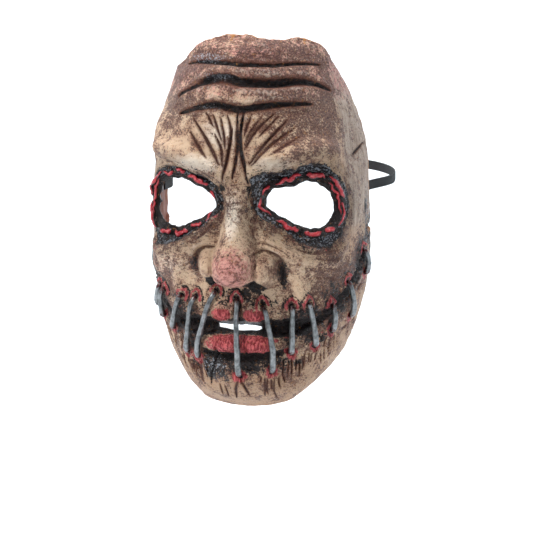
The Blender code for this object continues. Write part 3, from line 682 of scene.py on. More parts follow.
grime_and_shade -= 0.25 * bump(np.hypot((w + 14) / 22, (z - 46) / 14), 1)
edge_w = np.interp(z, [0, 30, 60, 90], [82, 76, 68, 58]) + 2.0 * lumps(w, z, 9, 99)
temple = ease(np.abs(w) - edge_w, -3, 4) * ease(z, -26, -8)
grime_and_shade = grime_and_shade * (1 - 0.6 * temple) + 0.10 * temple

# Painted highlight: pale cream on the brows, the bridge of the nose, the left forehead and the
# cheeks, less of it towards the right.
pale_highlight = bump(np.hypot((np.abs(w) - 24) / 30, (z - 26) / 10), 1) * (1 - 0.45 * right)
pale_highlight = np.maximum(pale_highlight, bump(np.hypot((w + 1) / 9, (z + 4) / 26), 1))
pale_highlight = np.maximum(pale_highlight, 0.85 * bump(np.hypot((w + 10) / 26, (z - 44) / 17), 1))
cheek_highlight = 0.6 * bump(np.hypot((np.abs(w) - 45) / 34, (z + 38) / 12), 1)
pale_highlight = np.maximum(pale_highlight, cheek_highlight * (1 - 0.5 * right))
# Painted shade: a darker, warmer ground on the chin and towards the right side.
lower_right_shade = np.maximum(ease(-z, 92, 108), 0.8 * ease(w, 30, 80))

# Silver-grey dragged over the relief; in the black eye rings it also stands for glints on the gloss
# black, a painted highlight.
silver = bump(np.hypot((w + 22) / 26, (z - 90) / 5), 1)
silver = np.maximum(silver, bump(np.hypot((w + 14) / 22, (z - 78.5) / 3.5), 1))
silver = np.maximum(silver, 0.7 * bump(np.hypot((w + 20) / 20, (z - 60) / 3.5), 1))
silver = np.maximum(silver, 0.75 * bump(np.hypot((w + 17) / 18, (z + 102) / 12), 1))
silver = np.maximum(silver, 0.72 * ease(share, 0.35, 0.55) * (1 - ease(share, 0.9, 1.05)))
silver = np.maximum(silver, 0.6 * bump(np.hypot(w / 12, (z + 57) / 4), 1))
silver = np.maximum(silver, 0.6 * far_side)
silver = np.maximum(silver, 0.25 * torn_band)

# A dark brown wash in the hollows of the relief, deepened there as painted shade; more painted
# shade beside the nose wings, down the right of the bridge and under the right wing.
wash_and_shade = ease(-relief, 0.05, 1.4)
wash_and_shade = np.maximum(wash_and_shade, 0.8 * bump(np.hypot((np.abs(w) - 26) / 9, (z + 38) / 14), 1))
wash_and_shade = np.maximum(wash_and_shade, 0.7 * bump(np.hypot((w - 11) / 5, (z + 12) / 26), 1))
wash_and_shade = np.maximum(wash_and_shade, 0.42 * torn_band)
wash_and_shade = np.maximum(wash_and_shade, 0.75 * bump(np.hypot((w - 20) / 7, (z + 47) / 8), 1))
# Painted highlight: cream on the crests of the relief, away from the creases.
crest_light = ease(relief, 0.2, 1.3) * (1 - 0.5 * torn_band) * (1 - crease_shade)
near_eye = 1 - ease(gap - ring, 4, 12)
inner_edge = 1 - ease(np.minimum(gap, mouth), 1.0, 4.0)
pores = np.clip(on_nose * 1.2 + 0.5 * forehead + 0.4 * cheek + 0.3 * pale_highlight, 0, 1)

raw = np.zeros_like(w)
raw[[0, -1]] = raw[:, [0, -1]] = 1.0
for nick in (-8.0, 38.0):
    raw = np.maximum(raw, top_rows**2 * bump(w - nick, 2.4))

numbers = np.full((ROWS, COLUMNS), -1)
corners = np.zeros((ROWS, COLUMNS), bool)
for rows in (slice(None, -1), slice(1, None)):
    for columns in (slice(None, -1), slice(1, None)):
        corners[rows, columns] |= kept
numbers[corners] = np.arange(corners.sum())
faces = np.stack(
    [numbers[:-1, :-1], numbers[1:, :-1], numbers[1:, 1:], numbers[:-1, 1:]], axis=-1
)[kept]


def new_mesh(name, points, faces, material, fields=None):
    """A smooth-shaded mesh object in metres, from points in millimetres and rows of corners."""
    mesh = bpy.data.meshes.new(name)
    mesh.from_pydata((points * MM).tolist(), [], faces.tolist())
    mesh.polygons.foreach_set("use_smooth", np.ones(len(faces), bool))
    for field, values in (fields or {}).items():
        kind, key = ("FLOAT", "value") if values.ndim == 1 else ("FLOAT_VECTOR", "vector")
        mesh.attributes.new(field, kind, "POINT").data.foreach_set(key, values.ravel())
    mesh.update()
    mesh.materials.append(material)
    piece = bpy.data.objects.new(name, mesh)
    bpy.context.scene.collection.objects.link(piece)
    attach(piece, "root")
    return piece


def add_node(tree, kind, sockets=None, **settings):
    """A node with its own settings; sockets are set to a value, or linked to an output."""
    node = tree.nodes.new(kind)
    for name, value in settings.items():
        setattr(node, name, value)
    for name, value in (sockets or {}).items():
        if isinstance(value, bpy.types.NodeSocket):
            tree.links.new(value, node.inputs[name])
        else:
            node.inputs[name].default_value = value
    return node


def colour(red, green, blue):
    """A paint's colour for the shader, from 0 to 255 as on a screen: its light is the 2.4th power
    of its value, but for a straight start."""
    card = np.array([red, green, blue]) / 255
    light = np.where(card <= 0.04045, card / 12.92, ((card + 0.055) / 1.055) ** 2.4)
    return (*light.tolist(), 1.0)


def coat(tree, below, above, amount):
    """One paint over another, covering by the amount."""
    mix = add_node(tree, "ShaderNodeMix", {0: amount, 6: below, 7: above}, data_type="RGBA")
    return mix.outputs[2]


def sums(tree, operation, first, second):
    """Two values added, multiplied or otherwise joined."""
    return add_node(tree, "ShaderNodeMath", {0: first, 1: second}, operation=operation).outputs[0]


def grain(tree, scale, detail=3.0, stretch=None, field=None):
    """Cloudy noise in object coordinates, or in those of a field; finer for a larger scale."""
    if field:
        place = add_node(tree, "ShaderNodeAttribute", attribute_name=field).outputs["Vector"]
    else:
        place = add_node(tree, "ShaderNodeTexCoord").outputs["Object"]
    if stretch:
        place = add_node(tree, "ShaderNodeMapping", {"Vector": place, "Scale": stretch}).outputs[0]
    sockets = {"Vector": place, "Scale": scale, "Detail": detail, "Roughness": 0.6}
    return add_node(tree, "ShaderNodeTexNoise", sockets).outputs[0]


def attribute(tree, name):
    return add_node(tree, "ShaderNodeAttribute", attribute_name=name).outputs["Fac"]


def swayed(tree, level, noise, strength):
    """A level raised and lowered by a noise whose middle is 0.5."""
    sway_step = sums(tree, "MULTIPLY", sums(tree, "SUBTRACT", noise, 0.5), strength)
    return sums(tree, "ADD", level, sway_step)


def sponge_group():
    """Paint dabbed or rubbed on: Cover says how much of a place it takes, grain of the given Scale
    and Contrast which specks of it; Softness blurs their edges."""
    group = bpy.data.node_groups.new("sponged_paint", "ShaderNodeTree")
    for name, value in (("Cover", 0.5), ("Scale", 900.0), ("Softness", 0.1), ("Contrast", 2.6)):
        socket = group.interface.new_socket(name, in_out="INPUT", socket_type="NodeSocketFloat")
        socket.default_value = value
    group.interface.new_socket("Mask", in_out="OUTPUT", socket_type="NodeSocketFloat")
    into = group.nodes.new("NodeGroupInput").outputs
    middle = sums(group, "SUBTRACT", grain(group, into["Scale"], 4.0), 0.5)
    level = sums(group, "ADD", into["Cover"], sums(group, "MULTIPLY", middle, into["Contrast"]))
    low = sums(group, "SUBTRACT", 0.5, into["Softness"])
    high = sums(group, "ADD", 0.5, into["Softness"])
    sockets = {"Value": level, "From Min": low, "From Max": high}
    mask = add_node(group, "ShaderNodeMapRange", sockets, interpolation_type="SMOOTHSTEP")
    out = group.nodes.new("NodeGroupOutput")
    group.links.new(mask.outputs[0], out.inputs["Mask"])
    return group


sponge = sponge_group()


def sponged(tree, cover, scale, softness, contrast=2.6):
    """The mask of a sponged paint."""
    node = add_node(tree, "ShaderNodeGroup", node_tree=sponge)
    for name, value in zip(node.inputs.keys(), (cover, scale, softness, contrast)):
        if isinstance(value, bpy.types.NodeSocket):
            tree.links.new(value, node.inputs[name])
        else:
            node.inputs[name].default_value = value
    return node.outputs["Mask"]


def between(tree, value, low, high):
    """0 below low and 1 above high, smoothly; the other way round if low is the larger."""
    sockets = {"Value": value, "From Min": low, "From Max": high}
    return add_node(tree, "ShaderNodeMapRange", sockets, interpolation_type="SMOOTHSTEP").outputs[0]


def painted_latex():
    """The painted outside: tan ground, darker on the chin and to the right as painted shade,
    pale glazes that are also painted highlight, pink glaze, rubbed brown with painted shade in
    it, a dark wash in the hollows that is painted shade, cream on the crests as painted
    highlight, dark lines in the folds, red flesh, broken black, silver dragged over it with
    painted glints round the eyes, and bare latex at the trimmed edge."""
    material = bpy.data.materials.new("painted_latex")
    material.use_nodes = True
    tree = material.node_tree
    shader = tree.nodes["Principled BSDF"]
    clouds = grain(tree, 120.0, 4.0)
    rubbed = grain(tree, 460.0, 4.0, (0.5, 1.0, 1.0))
    round_eye = grain(tree, 420.0, 4.0, (0.4, 0.4, 1.0), "round_eye")
    upright = grain(tree, 300.0, 3.0, (1.0, 1.0, 0.2))
    near_eye = attribute(tree, "near_eye")

    ground = coat(
        tree, colour(206, 176, 146), colour(186, 150, 122), between(tree, clouds, 0.38, 0.62)
    )
    # Painted shade: the ground darker and warmer on the chin and to the right.
    lower_right_cover = sums(tree, "MULTIPLY", attribute(tree, "lower_right_shade"), 0.85)
    ground = coat(tree, ground, colour(166, 130, 100), lower_right_cover)
    # Painted highlight: a pale cream glaze where the light falls.
    pale_highlight = swayed(tree, attribute(tree, "pale_highlight"), rubbed, 1.2)
    ground = coat(tree, ground, colour(236, 218, 198), between(tree, pale_highlight, 0.25, 1.1))
    greyish = coat(
        tree, colour(172, 152, 134), colour(138, 116, 100), between(tree, upright, 0.38, 0.66)
    )
    ground = coat(tree, ground, greyish, attribute(tree, "temple"))
    pink = sponged(tree, attribute(tree, "blush"), 520.0, 0.40, 1.8)
    pink_paint = coat(
        tree, colour(206, 138, 130), colour(148, 66, 64), between(tree, rubbed, 0.60, 0.38)
    )
    ground = coat(tree, ground, pink_paint, sums(tree, "MULTIPLY", pink, 0.82))

    # Rubbed brown and dark specks, with painted shade in them.
    grime_and_shade = swayed(tree, swayed(tree, attribute(tree, "grime_and_shade"), clouds, 2.2), rubbed, -1.4)
    brown = sponged(tree, sums(tree, "MINIMUM", grime_and_shade, 0.80), 760.0, 0.26, 2.8)
    ground = coat(tree, ground, colour(112, 70, 56), sums(tree, "MULTIPLY", brown, 0.80))
    specks = sponged(
        tree, sums(tree, "MINIMUM", sums(tree, "SUBTRACT", grime_and_shade, 0.12), 0.62), 1100.0, 0.10, 4.0
    )
    ground = coat(tree, ground, colour(58, 32, 30), sums(tree, "MULTIPLY", specks, 0.78))
    # Painted shade: dark brown in the hollows, beside the nose and under the right wing.
    low = sponged(tree, attribute(tree, "wash_and_shade"), 560.0, 0.36, 2.0)
    ground = coat(tree, ground, colour(84, 46, 36), sums(tree, "MULTIPLY", low, 0.82))
    # Painted highlight: cream on the crests.
    high = sponged(tree, sums(tree, "MULTIPLY", attribute(tree, "crest_light"), 0.8), 560.0, 0.3, 2.4)
    ground = coat(tree, ground, colour(226, 204, 184), sums(tree, "MULTIPLY", high, 0.4))

    cells = add_node(
        tree, "ShaderNodeTexVoronoi",
        {"Vector": add_node(tree, "ShaderNodeTexCoord").outputs["Object"], "Scale": 420.0},
    )
    picked = add_node(tree, "ShaderNodeSeparateColor", {0: cells.outputs["Color"]}).outputs[0]
    pits = sums(
        tree, "MULTIPLY", between(tree, cells.outputs["Distance"], 0.26, 0.10),
        sums(tree, "MULTIPLY", between(tree, picked, 0.45, 0.55), attribute(tree, "pores")),
    )
    ground = coat(tree, ground, colour(52, 30, 28), pits)
    line = swayed(tree, attribute(tree, "line"), grain(tree, 700.0), 1.0)
    halo = between(tree, line, 1.9, 0.6)
    ground = coat(tree, ground, colour(128, 78, 58), sums(tree, "MULTIPLY", halo, 0.5))
    lines = between(tree, line, 0.90, 0.35)
    ground = coat(tree, ground, colour(66, 32, 24), sums(tree, "MULTIPLY", lines, 0.85))

    threads = between(tree, grain(tree, 900.0, 3.0, (1.0, 1.0, 0.22)), 0.40, 0.62)
    blood = coat(tree, colour(118, 22, 30), colour(200, 92, 92), threads)
    red = sponged(tree, attribute(tree, "flesh"), 520.0, 0.20, 1.8)
    ground = coat(tree, ground, blood, red)
    black_and_shade = swayed(tree, attribute(tree, "black_and_shade"), round_eye, sums(tree, "MULTIPLY", near_eye, 1.3))
    black_and_shade = swayed(tree, black_and_shade, grain(tree, 210.0, 3.0), 1.0)
    black = sponged(tree, black_and_shade, 700.0, 0.09, 1.9)
    black_paint = coat(tree, colour(10, 7, 7), colour(38, 26, 24), grain(tree, 300.0))
    ground = coat(tree, ground, black_paint, black)
    # Silver dragged on, streaked round the eyes where it also stands for glints, a painted
    # highlight.
    dragged_and_glint = sums(tree, "MULTIPLY", attribute(tree, "silver"), 0.50)
    dragged_and_glint = swayed(tree, dragged_and_glint, round_eye, sums(tree, "MULTIPLY", near_eye, 1.6))
    dragged_and_glint = sums(tree, "MULTIPLY", sponged(tree, dragged_and_glint, 800.0, 0.07, 2.2), 0.75)
    ground = coat(tree, ground, colour(166, 170, 178), dragged_and_glint)
    ground = coat(
        tree, ground, colour(170, 112, 54), sponged(tree, attribute(tree, "raw"), 500.0, 0.3)
    )
    tree.links.new(ground, shader.inputs["Base Color"])

    gloss = add_node(
        tree, "ShaderNodeMath", {0: black, 1: -0.20, 2: 0.54}, operation="MULTIPLY_ADD"
    )
    tree.links.new(gloss.outputs[0], shader.inputs["Roughness"])
    shader.inputs["Specular IOR Level"].default_value = 0.40
    height = sums(tree, "ADD", grain(tree, 1300.0, 4.0), sums(tree, "MULTIPLY", rubbed, 2.0))
    height = swayed(tree, height, cells.outputs["Distance"], 0.5)
    height = swayed(tree, height, round_eye, sums(tree, "MULTIPLY", near_eye, 5.0))
    height = swayed(tree, height, grain(tree, 330.0, 5.0), sums(tree, "MULTIPLY", black_and_shade, 2.2))
    height = sums(tree, "SUBTRACT", height, sums(tree, "ADD", lines, pits))
    marks = add_node(
        tree, "ShaderNodeBump", {"Height": height, "Strength": 1.0, "Distance": 0.0012}
    )
    tree.links.new(marks.outputs[0], shader.inputs["Normal"])
    return material


def raw_latex():
    """The bare inside: orange-brown latex, darker in thick places, with the mould's brush marks."""
    material = bpy.data.materials.new("raw_latex")
    material.use_nodes = True
    tree = material.node_tree
    shader = tree.nodes["Principled BSDF"]
    cloudy = between(tree, grain(tree, 45.0, 4.0), 0.35, 0.65)
    base = coat(tree, colour(134, 64, 30), colour(84, 34, 16), cloudy)
    drips = between(tree, grain(tree, 160.0, 3.0, (1.0, 1.0, 0.35)), 0.45, 0.7)
    base = coat(tree, base, colour(160, 96, 50), sums(tree, "MULTIPLY", drips, 0.4))
    base = coat(
        tree, base, colour(14, 9, 9), sponged(tree, attribute(tree, "inner_edge"), 400.0, 0.2)
    )
    tree.links.new(base, shader.inputs["Base Color"])
    shader.inputs["Roughness"].default_value = 0.5
    shader.inputs["Specular IOR Level"].default_value = 0.25
    height = sums(tree, "ADD", grain(tree, 220.0, 4.0), sums(tree, "MULTIPLY", drips, 0.6))
    marks = add_node(
        tree, "ShaderNodeBump", {"Height": height, "Strength": 0.5, "Distance": 0.0012}
    )
    tree.links.new(marks.outputs[0], shader.inputs["Normal"])
    return material


paints = {
    "black_and_shade": black_and_shade, "line": line_distance, "flesh": flesh, "blush": blush, "grime_and_shade": grime_and_shade,
    "pale_highlight": pale_highlight, "lower_right_shade": lower_right_shade, "silver": silver, "temple": temple, "raw": raw, "pores": pores,
    "wash_and_shade": wash_and_shade, "crest_light": crest_light, "inner_edge": inner_edge, "near_eye": near_eye,
    "round_eye": np.stack([round_w, round_z, 3 * gap], axis=-1) * MM,
}
latex = new_mesh(
    "latex_skin", skin[corners], faces, painted_latex(),
    {name: values[corners].astype(np.float32) for name, values in paints.items()},
)
latex.data.materials.append(raw_latex())
wall = latex.modifiers.new("wall", "SOLIDIFY")
wall.thickness = WALL * MM
wall.offset = -1
wall.material_offset = 1
wall.use_rim = True
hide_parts("mask_shell")


def skin_at(at_w, at_z):
    """Points of the finished skin and its normals at the given places.

    The nearest grid point, then the step to the place from the grid's slopes there.
    """
    flat_w, flat_z = w.ravel(), z.ravel()
    at_w, at_z = np.atleast_1d(at_w).astype(float), np.atleast_1d(at_z).astype(float)
    nearest = np.array([
        np.argmin((flat_w - one_w) ** 2 + (flat_z - one_z) ** 2) for one_w, one_z in zip(at_w, at_z)
    ])
    i, j = nearest // COLUMNS, nearest % COLUMNS
    rows_w, columns_w = (field[i, j] for field in np.gradient(w))
    rows_z, columns_z = (field[i, j] for field in np.gradient(z))
    miss_w, miss_z = at_w - w[i, j], at_z - z[i, j]
    size = rows_w * columns_z - columns_w * rows_z
    p = np.clip((miss_w * columns_z - columns_w * miss_z) / size, -1, 1)
    q = np.clip((rows_w * miss_z - miss_w * rows_z) / size, -1, 1)
    a = np.clip(i + p, 0, ROWS - 1.001)
    b = np.clip(j + q, 0, COLUMNS - 1.001)
    return at_places(skin, a, b), at_places(skin_normals, a, b)


# Torn flesh round the eyes
# Raised shreds of latex modelled on the black rims of the eye holes, part of the same casting.
# They are painted blood red, lighter and pink along their crests as painted highlight and near
# black down their sides as painted shade.

Shred = namedtuple("Shred", "start end away half_width")
SHREDS_RIGHT = (
    Shred(166, 150, 4.6, 1.2), Shred(143, 92, 5.2, 1.6), Shred(82, 48, 4.8, 1.7),
    Shred(45, 8, 6.6, 1.9), Shred(40, -14, 3.8, 1.0), Shred(4, -30, 6.4, 1.6),
    Shred(-33, -46, 4.4, 2.1), Shred(-51, -88, 4.8, 2.1), Shred(-100, -153, 4.4, 1.8),
    Shred(-163, -192, 3.8, 1.1),
)
SHREDS_LEFT = (
    Shred(172, 160, 3.4, 1.3), Shred(152, 112, 5.0, 1.8), Shred(105, 82, 5.0, 1.6),
    Shred(75, 50, 4.6, 1.7), Shred(46, 4, 5.8, 2.0), Shred(38, -20, 3.4, 1.1),
    Shred(-2, -40, 5.8, 1.8), Shred(-46, -64, 4.4, 2.1), Shred(-70, -112, 4.2, 2.0),
    Shred(-122, -146, 4.0, 1.6), Shred(-152, -170, 3.2, 1.1),
)


def carried(path, normals, across, high, turns):
    """An oval section carried along a path over a surface: across times the sideways direction
    and high times the normal, round the given angles; both may vary along the path and round."""
    along = np.gradient(path, axis=0)
    sideways = np.cross(normals, along)
    sideways /= np.linalg.norm(sideways, axis=1, keepdims=True)
    upright = np.cross(along, sideways)
    upright /= np.linalg.norm(upright, axis=1, keepdims=True)
    cosine, sine = np.cos(turns)[None, :, None], np.sin(turns)[None, :, None]
    return (
        path[:, None] + across[..., None] * cosine * sideways[:, None]
        + high[..., None] * sine * upright[:, None]
    )


def tube_faces(rings, around, start=0):
    """Corners of a tube's faces, facing outwards: its sides, and at both ends a strip of faces
    across the first and the last ring."""
    i, j = np.meshgrid(np.arange(rings - 1), np.arange(around), indexing="ij")
    here, there = i * around + j, i * around + (j + 1) % around
    sides = np.stack([here, there, there + around, here + around], axis=-1).reshape(-1, 4)
    k = np.arange(around // 2 - 1)
    strip = np.stack([k, k + 1, around - 2 - k, around - 1 - k], axis=-1)
    return np.vstack([sides, strip[:, ::-1], strip + (rings - 1) * around]) + start


def shred_mesh(side, table):
    """All shreds round one eye: ovals that thicken and thin by seeded lumps and taper to their
    ends, carried along the rim on the skin."""
    points, faces, crest_lights = [], [], []
    turns = np.linspace(0, 2 * math.pi, 12, endpoint=False)
    for number, shred in enumerate(table):
        seed = 200 + number + (50 if side < 0 else 0)
        count = max(14, int(abs(shred.start - shred.end) * 0.9))
        share = np.linspace(0, 1, count)
        angle = np.radians(shred.start + (shred.end - shred.start) * share)
        wrapped = (angle + math.pi) % (2 * math.pi) - math.pi
        steps = share * abs(shred.start - shred.end) / 9
        wiggle = 1.5 * lumps(steps, share * 0, 1.3, seed)
        wiggle = wiggle + 0.7 * lumps(steps, share * 0, 0.6, seed + 9)
        radius = eye_edge(wrapped, np.full(count, side)) + shred.away + wiggle
        path, normals = skin_at(
            side * (EYE_CENTRE + radius * np.cos(angle)), radius * np.sin(angle)
        )
        taper = np.sqrt(np.clip(1 - np.abs(2 * share - 1) ** 3.0, 0.0004, 1))
        run, round_it = np.broadcast_arrays(steps[:, None] * 2.2, turns[None] * 1.2)
        lump = 0.85 + 0.45 * lumps(run, round_it, 1.3, seed + 20)
        lump = lump + 0.25 * lumps(run, round_it, 0.5, seed + 30)
        across = 0.92 * shred.half_width * taper[:, None] * lump
        high = 0.65 * shred.half_width * taper[:, None] * lump + 0.1
        path = path + normals * (0.25 * shred.half_width)
        rings = carried(path, normals, across, high, turns)
        faces.append(tube_faces(count, 12, sum(len(part) for part in points)))
        points.append(rings.reshape(-1, 3))
        # How far up round the section each point lies, which sets the painted highlight on top and
        # the painted shade below.
        crest_lights.append((0.5 + 0.5 * np.sin(turns)[None] * taper[:, None]).reshape(-1))
    return np.vstack(points), np.vstack(faces), np.concatenate(crest_lights)


def torn_flesh():
    """Blood red latex, wet looking, with painted highlight in lighter red and pink on the crests
    and painted shade near black down at the edges.
    """
    material = bpy.data.materials.new("torn_flesh")
    material.use_nodes = True
    tree = material.node_tree
    shader = tree.nodes["Principled BSDF"]
    crest_light = attribute(tree, "crest_light")
    # Painted highlight and shade: lighter red and pink on top of each shred, near black down its
    # sides.
    red = coat(tree, colour(92, 12, 18), colour(160, 28, 38), between(tree, crest_light, 0.55, 0.9))
    high = sponged(tree, between(tree, crest_light, 0.80, 1.3), 520.0, 0.25)
    red = coat(tree, red, colour(204, 96, 94), sums(tree, "MULTIPLY", high, 0.8))
    low = sponged(tree, between(tree, crest_light, 0.80, 0.40), 600.0, 0.2, 1.8)
    red = coat(tree, red, colour(14, 7, 7), low)
    tree.links.new(red, shader.inputs["Base Color"])
    shader.inputs["Roughness"].default_value = 0.32
    marks = add_node(
        tree,
        "ShaderNodeBump",
        {"Height": grain(tree, 700.0, 4.0), "Strength": 0.6, "Distance": 0.0005},
    )
    tree.links.new(marks.outputs[0], shader.inputs["Normal"])
    return material


flesh_paint = torn_flesh()
for name, side, table in (
    ("eye_flesh_right", 1, SHREDS_RIGHT),
    ("eye_flesh_left", -1, SHREDS_LEFT),
):
    points, faces, crest_lights = shred_mesh(side, table)
    shreds = new_mesh(name, points, faces, flesh_paint, {"crest_light": crest_lights.astype(np.float32)})

# Stitches
# Thick cord stiffened with latex and painted silver-grey, pulled across the lips and glued at both
# ends into the wounds. A stitch is thinner at the top and has a patina in its hollows.

STITCH_RADIUS = 1.6
STITCH_GAP = 0.15


def tight_over(share, height):
    """The heights of a string pulled tight over the given ones: at each place the highest of the
    straight lines between any two of them that pass it."""
    before, after = share[:, None, None] <= share, share[None, :, None] >= share
    run = share[None, :, None] - share[:, None, None]
    part = np.where(run > 0, (share - share[:, None, None]) / np.where(run > 0, run, 1), 0)
    line = height[:, None, None] * (1 - part) + height[None, :, None] * part
    return np.where(before & after, line, -1e3).max(axis=(0, 1))


def stitch_mesh(stitch, seed):
    """A round cord over the skin: its middle line is the skin between the stitch's ends pulled
    tight, and sinks into the wound at each end; its radius grows downwards and wavers."""
    share = np.linspace(0, 1, 33)
    top, bottom = (stitch.top_w, stitch.top_z), (stitch.bottom_w, stitch.bottom_z)
    line_w, line_z = (top[k] + (bottom[k] - top[k]) * share for k in (0, 1))
    lanes = [skin_at(line_w + shift, line_z) for shift in (-1.3, 0, 1.3)]
    middle, outward = lanes[1][0], sum(lane[1][[0, -1]].sum(axis=0) for lane in lanes)
    chord = middle[-1] - middle[0]
    outward -= chord * (outward @ chord) / (chord @ chord)
    outward /= np.linalg.norm(outward)
    base = middle[0] + share[:, None] * chord
    height = np.max([(lane[0] - base) @ outward for lane in lanes], axis=0)
    height = tight_over(share, height) + STITCH_RADIUS + STITCH_GAP
    fine = np.linspace(0, 1, 72)
    height = np.interp(fine, share, height) + 0.6 * np.sin(math.pi * fine)
    sink = 1 - ease(np.minimum(fine, 1 - fine), 0, 0.10)
    height -= 1.5 * sink
    sway = 0.35 * lumps(fine * 30, fine * 0, 6, seed)
    aside = np.cross(chord, outward) / np.linalg.norm(chord)
    path = middle[0] + fine[:, None] * chord + height[:, None] * outward + sway[:, None] * aside
    turns = np.linspace(0, 2 * math.pi, 20, endpoint=False)
    end = np.minimum(fine, 1 - fine) * np.linalg.norm(chord)
    taper = np.sqrt(np.clip(1 - np.clip(1 - end / 1.6, 0, 1) ** 2, 0.0004, 1))
    radius = STITCH_RADIUS * (0.92 + 0.34 * fine) * taper
    waver = 1 + 0.05 * lumps(
        fine[:, None] * 40 + 0 * turns, turns[None] * 1.5 + 0 * fine[:, None], 1.2, seed + 1
    )
    waver = waver + 0.03 * np.cos(3 * turns[None] + 4 * fine[:, None])
    radius = radius[:, None] * waver
    rings = carried(path, np.tile(outward, (len(fine), 1)), radius, radius, turns)
    ends = (1 - ease(end, 0, 5))[:, None] + 0 * turns
    return rings.reshape(-1, 3), tube_faces(len(fine), 20), ends.reshape(-1)


def silver_cord():
    """Silver paint over cord: bright on the high places, grey-green patina in the hollows and
    dark red where an end enters the flesh."""
    material = bpy.data.materials.new("silver_cord")
    material.use_nodes = True
    tree = material.node_tree
    shader = tree.nodes["Principled BSDF"]
    patina = sponged(tree, 0.45, 300.0, 0.45)
    paint = coat(tree, colour(136, 138, 139), colour(78, 81, 82), patina)
    specks = sums(tree, "MULTIPLY", sponged(tree, 0.16, 1100.0, 0.2), 0.6)
    paint = coat(tree, paint, colour(78, 80, 78), specks)
    stain = sponged(tree, sums(tree, "MULTIPLY", attribute(tree, "ends"), 0.75), 700.0, 0.25)
    paint = coat(tree, paint, colour(74, 34, 32), stain)
    tree.links.new(paint, shader.inputs["Base Color"])
    shader.inputs["Metallic"].default_value = 0.75
    shader.inputs["Roughness"].default_value = 0.30
    dents = sums(
        tree, "ADD", grain(tree, 500.0, 3.0), sums(tree, "MULTIPLY", grain(tree, 1400.0, 2.0), 0.5)
    )
    marks = add_node(tree, "ShaderNodeBump", {"Height": dents, "Strength": 0.4, "Distance": 0.0005})
    tree.links.new(marks.outputs[0], shader.inputs["Normal"])
    return material


cord_paint = silver_cord()
for number, stitch in enumerate(STITCHES):
    points, faces, ends = stitch_mesh(stitch, 300 + 5 * number)
    cord = new_mesh(
        stitch.name + "_cord", points, faces, cord_paint, {"ends": ends.astype(np.float32)}
    )
    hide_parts(stitch.name)

# Elastic strap
# One flat woven elastic, 6.4 mm wide, glued inside both side walls a little above the eyes and
# passed round the back of the head. Rubber threads run along it under a black braid.

STRAP_WIDTH = 6.4
STRAP_THICKNESS = 1.2
STRAP_Z = 5.0
STRAP_RISE = 7.0
STRAP_FRONT_Y = -18.0
STRAP_WALL_X = 64.5
STRAP_EDGE_Y = -3.0
STRAP_HALF_LOOP = 78.0
STRAP_BACK_Y = 113.0


def strap_path():
    """The strap's middle line: straight back inside the wall, then an eased swing out to a half
    circle round the back, mirrored on the left; equal steps along it."""
    centre_y = STRAP_EDGE_Y + 0.36 * (STRAP_BACK_Y - STRAP_EDGE_Y)
    half_length = STRAP_BACK_Y - centre_y
    front = math.asin((centre_y - STRAP_EDGE_Y) / half_length)
    angle = np.linspace(-front, math.pi / 2, 200)
    y = centre_y + half_length * np.sin(angle)
    swing = ease(y, STRAP_EDGE_Y, centre_y)
    x = np.where(
        angle > 0, STRAP_HALF_LOOP * np.cos(angle),
        STRAP_WALL_X + swing * (STRAP_HALF_LOOP - STRAP_WALL_X),
    )
    y = np.concatenate([np.linspace(STRAP_FRONT_Y, STRAP_EDGE_Y, 20)[:-1], y])
    x = np.concatenate([np.full(19, STRAP_WALL_X), x])
    back_share = (y - STRAP_EDGE_Y) / (STRAP_BACK_Y - STRAP_EDGE_Y)
    height = STRAP_Z + STRAP_RISE * np.clip(back_share, 0, 1)
    half = np.stack([x, y, height], axis=1)
    whole = np.vstack([half, half[-2::-1] * (-1, 1, 1)])
    length = np.concatenate([[0], np.cumsum(np.linalg.norm(np.diff(whole, axis=0), axis=1))])
    even = np.linspace(0, length[-1], 521)
    return np.stack([np.interp(even, length, whole[:, k]) for k in range(3)], axis=1), even


def strap_mesh():
    """A flat section with rounded edges and eight low ribs on each face, carried along the path."""
    path, length = strap_path()
    turns = np.linspace(0, 2 * math.pi, 96, endpoint=False)
    squared = np.abs(np.cos(turns)) ** 0.35 * np.sign(np.cos(turns))
    flat = np.abs(np.sin(turns)) ** 0.55 * np.sign(np.sin(turns))
    ribs = 0.07 * np.cos(squared * 8 * math.pi) * np.abs(flat)
    weft = 0.03 * np.cos(
        length[:, None] * 2 * math.pi / 1.3 + (np.round(squared * 8) % 2) * math.pi
    )
    along = np.gradient(path, axis=0)
    along /= np.linalg.norm(along, axis=1, keepdims=True)
    upward = np.array([0.0, 0.0, 1.0]) - along * along[:, 2:]
    upward /= np.linalg.norm(upward, axis=1, keepdims=True)
    outward = np.cross(along, upward)
    high = 0.5 * STRAP_WIDTH * squared[None]
    deep = (0.5 * STRAP_THICKNESS - 0.1 + ribs[None] + weft) * flat[None]
    points = path[:, None] + high[..., None] * upward[:, None] + deep[..., None] * outward[:, None]
    uv = np.stack(np.broadcast_arrays(length[:, None] * MM, high * MM), axis=-1)
    return points.reshape(-1, 3), tube_faces(len(path), 96), uv.reshape(-1, 2)


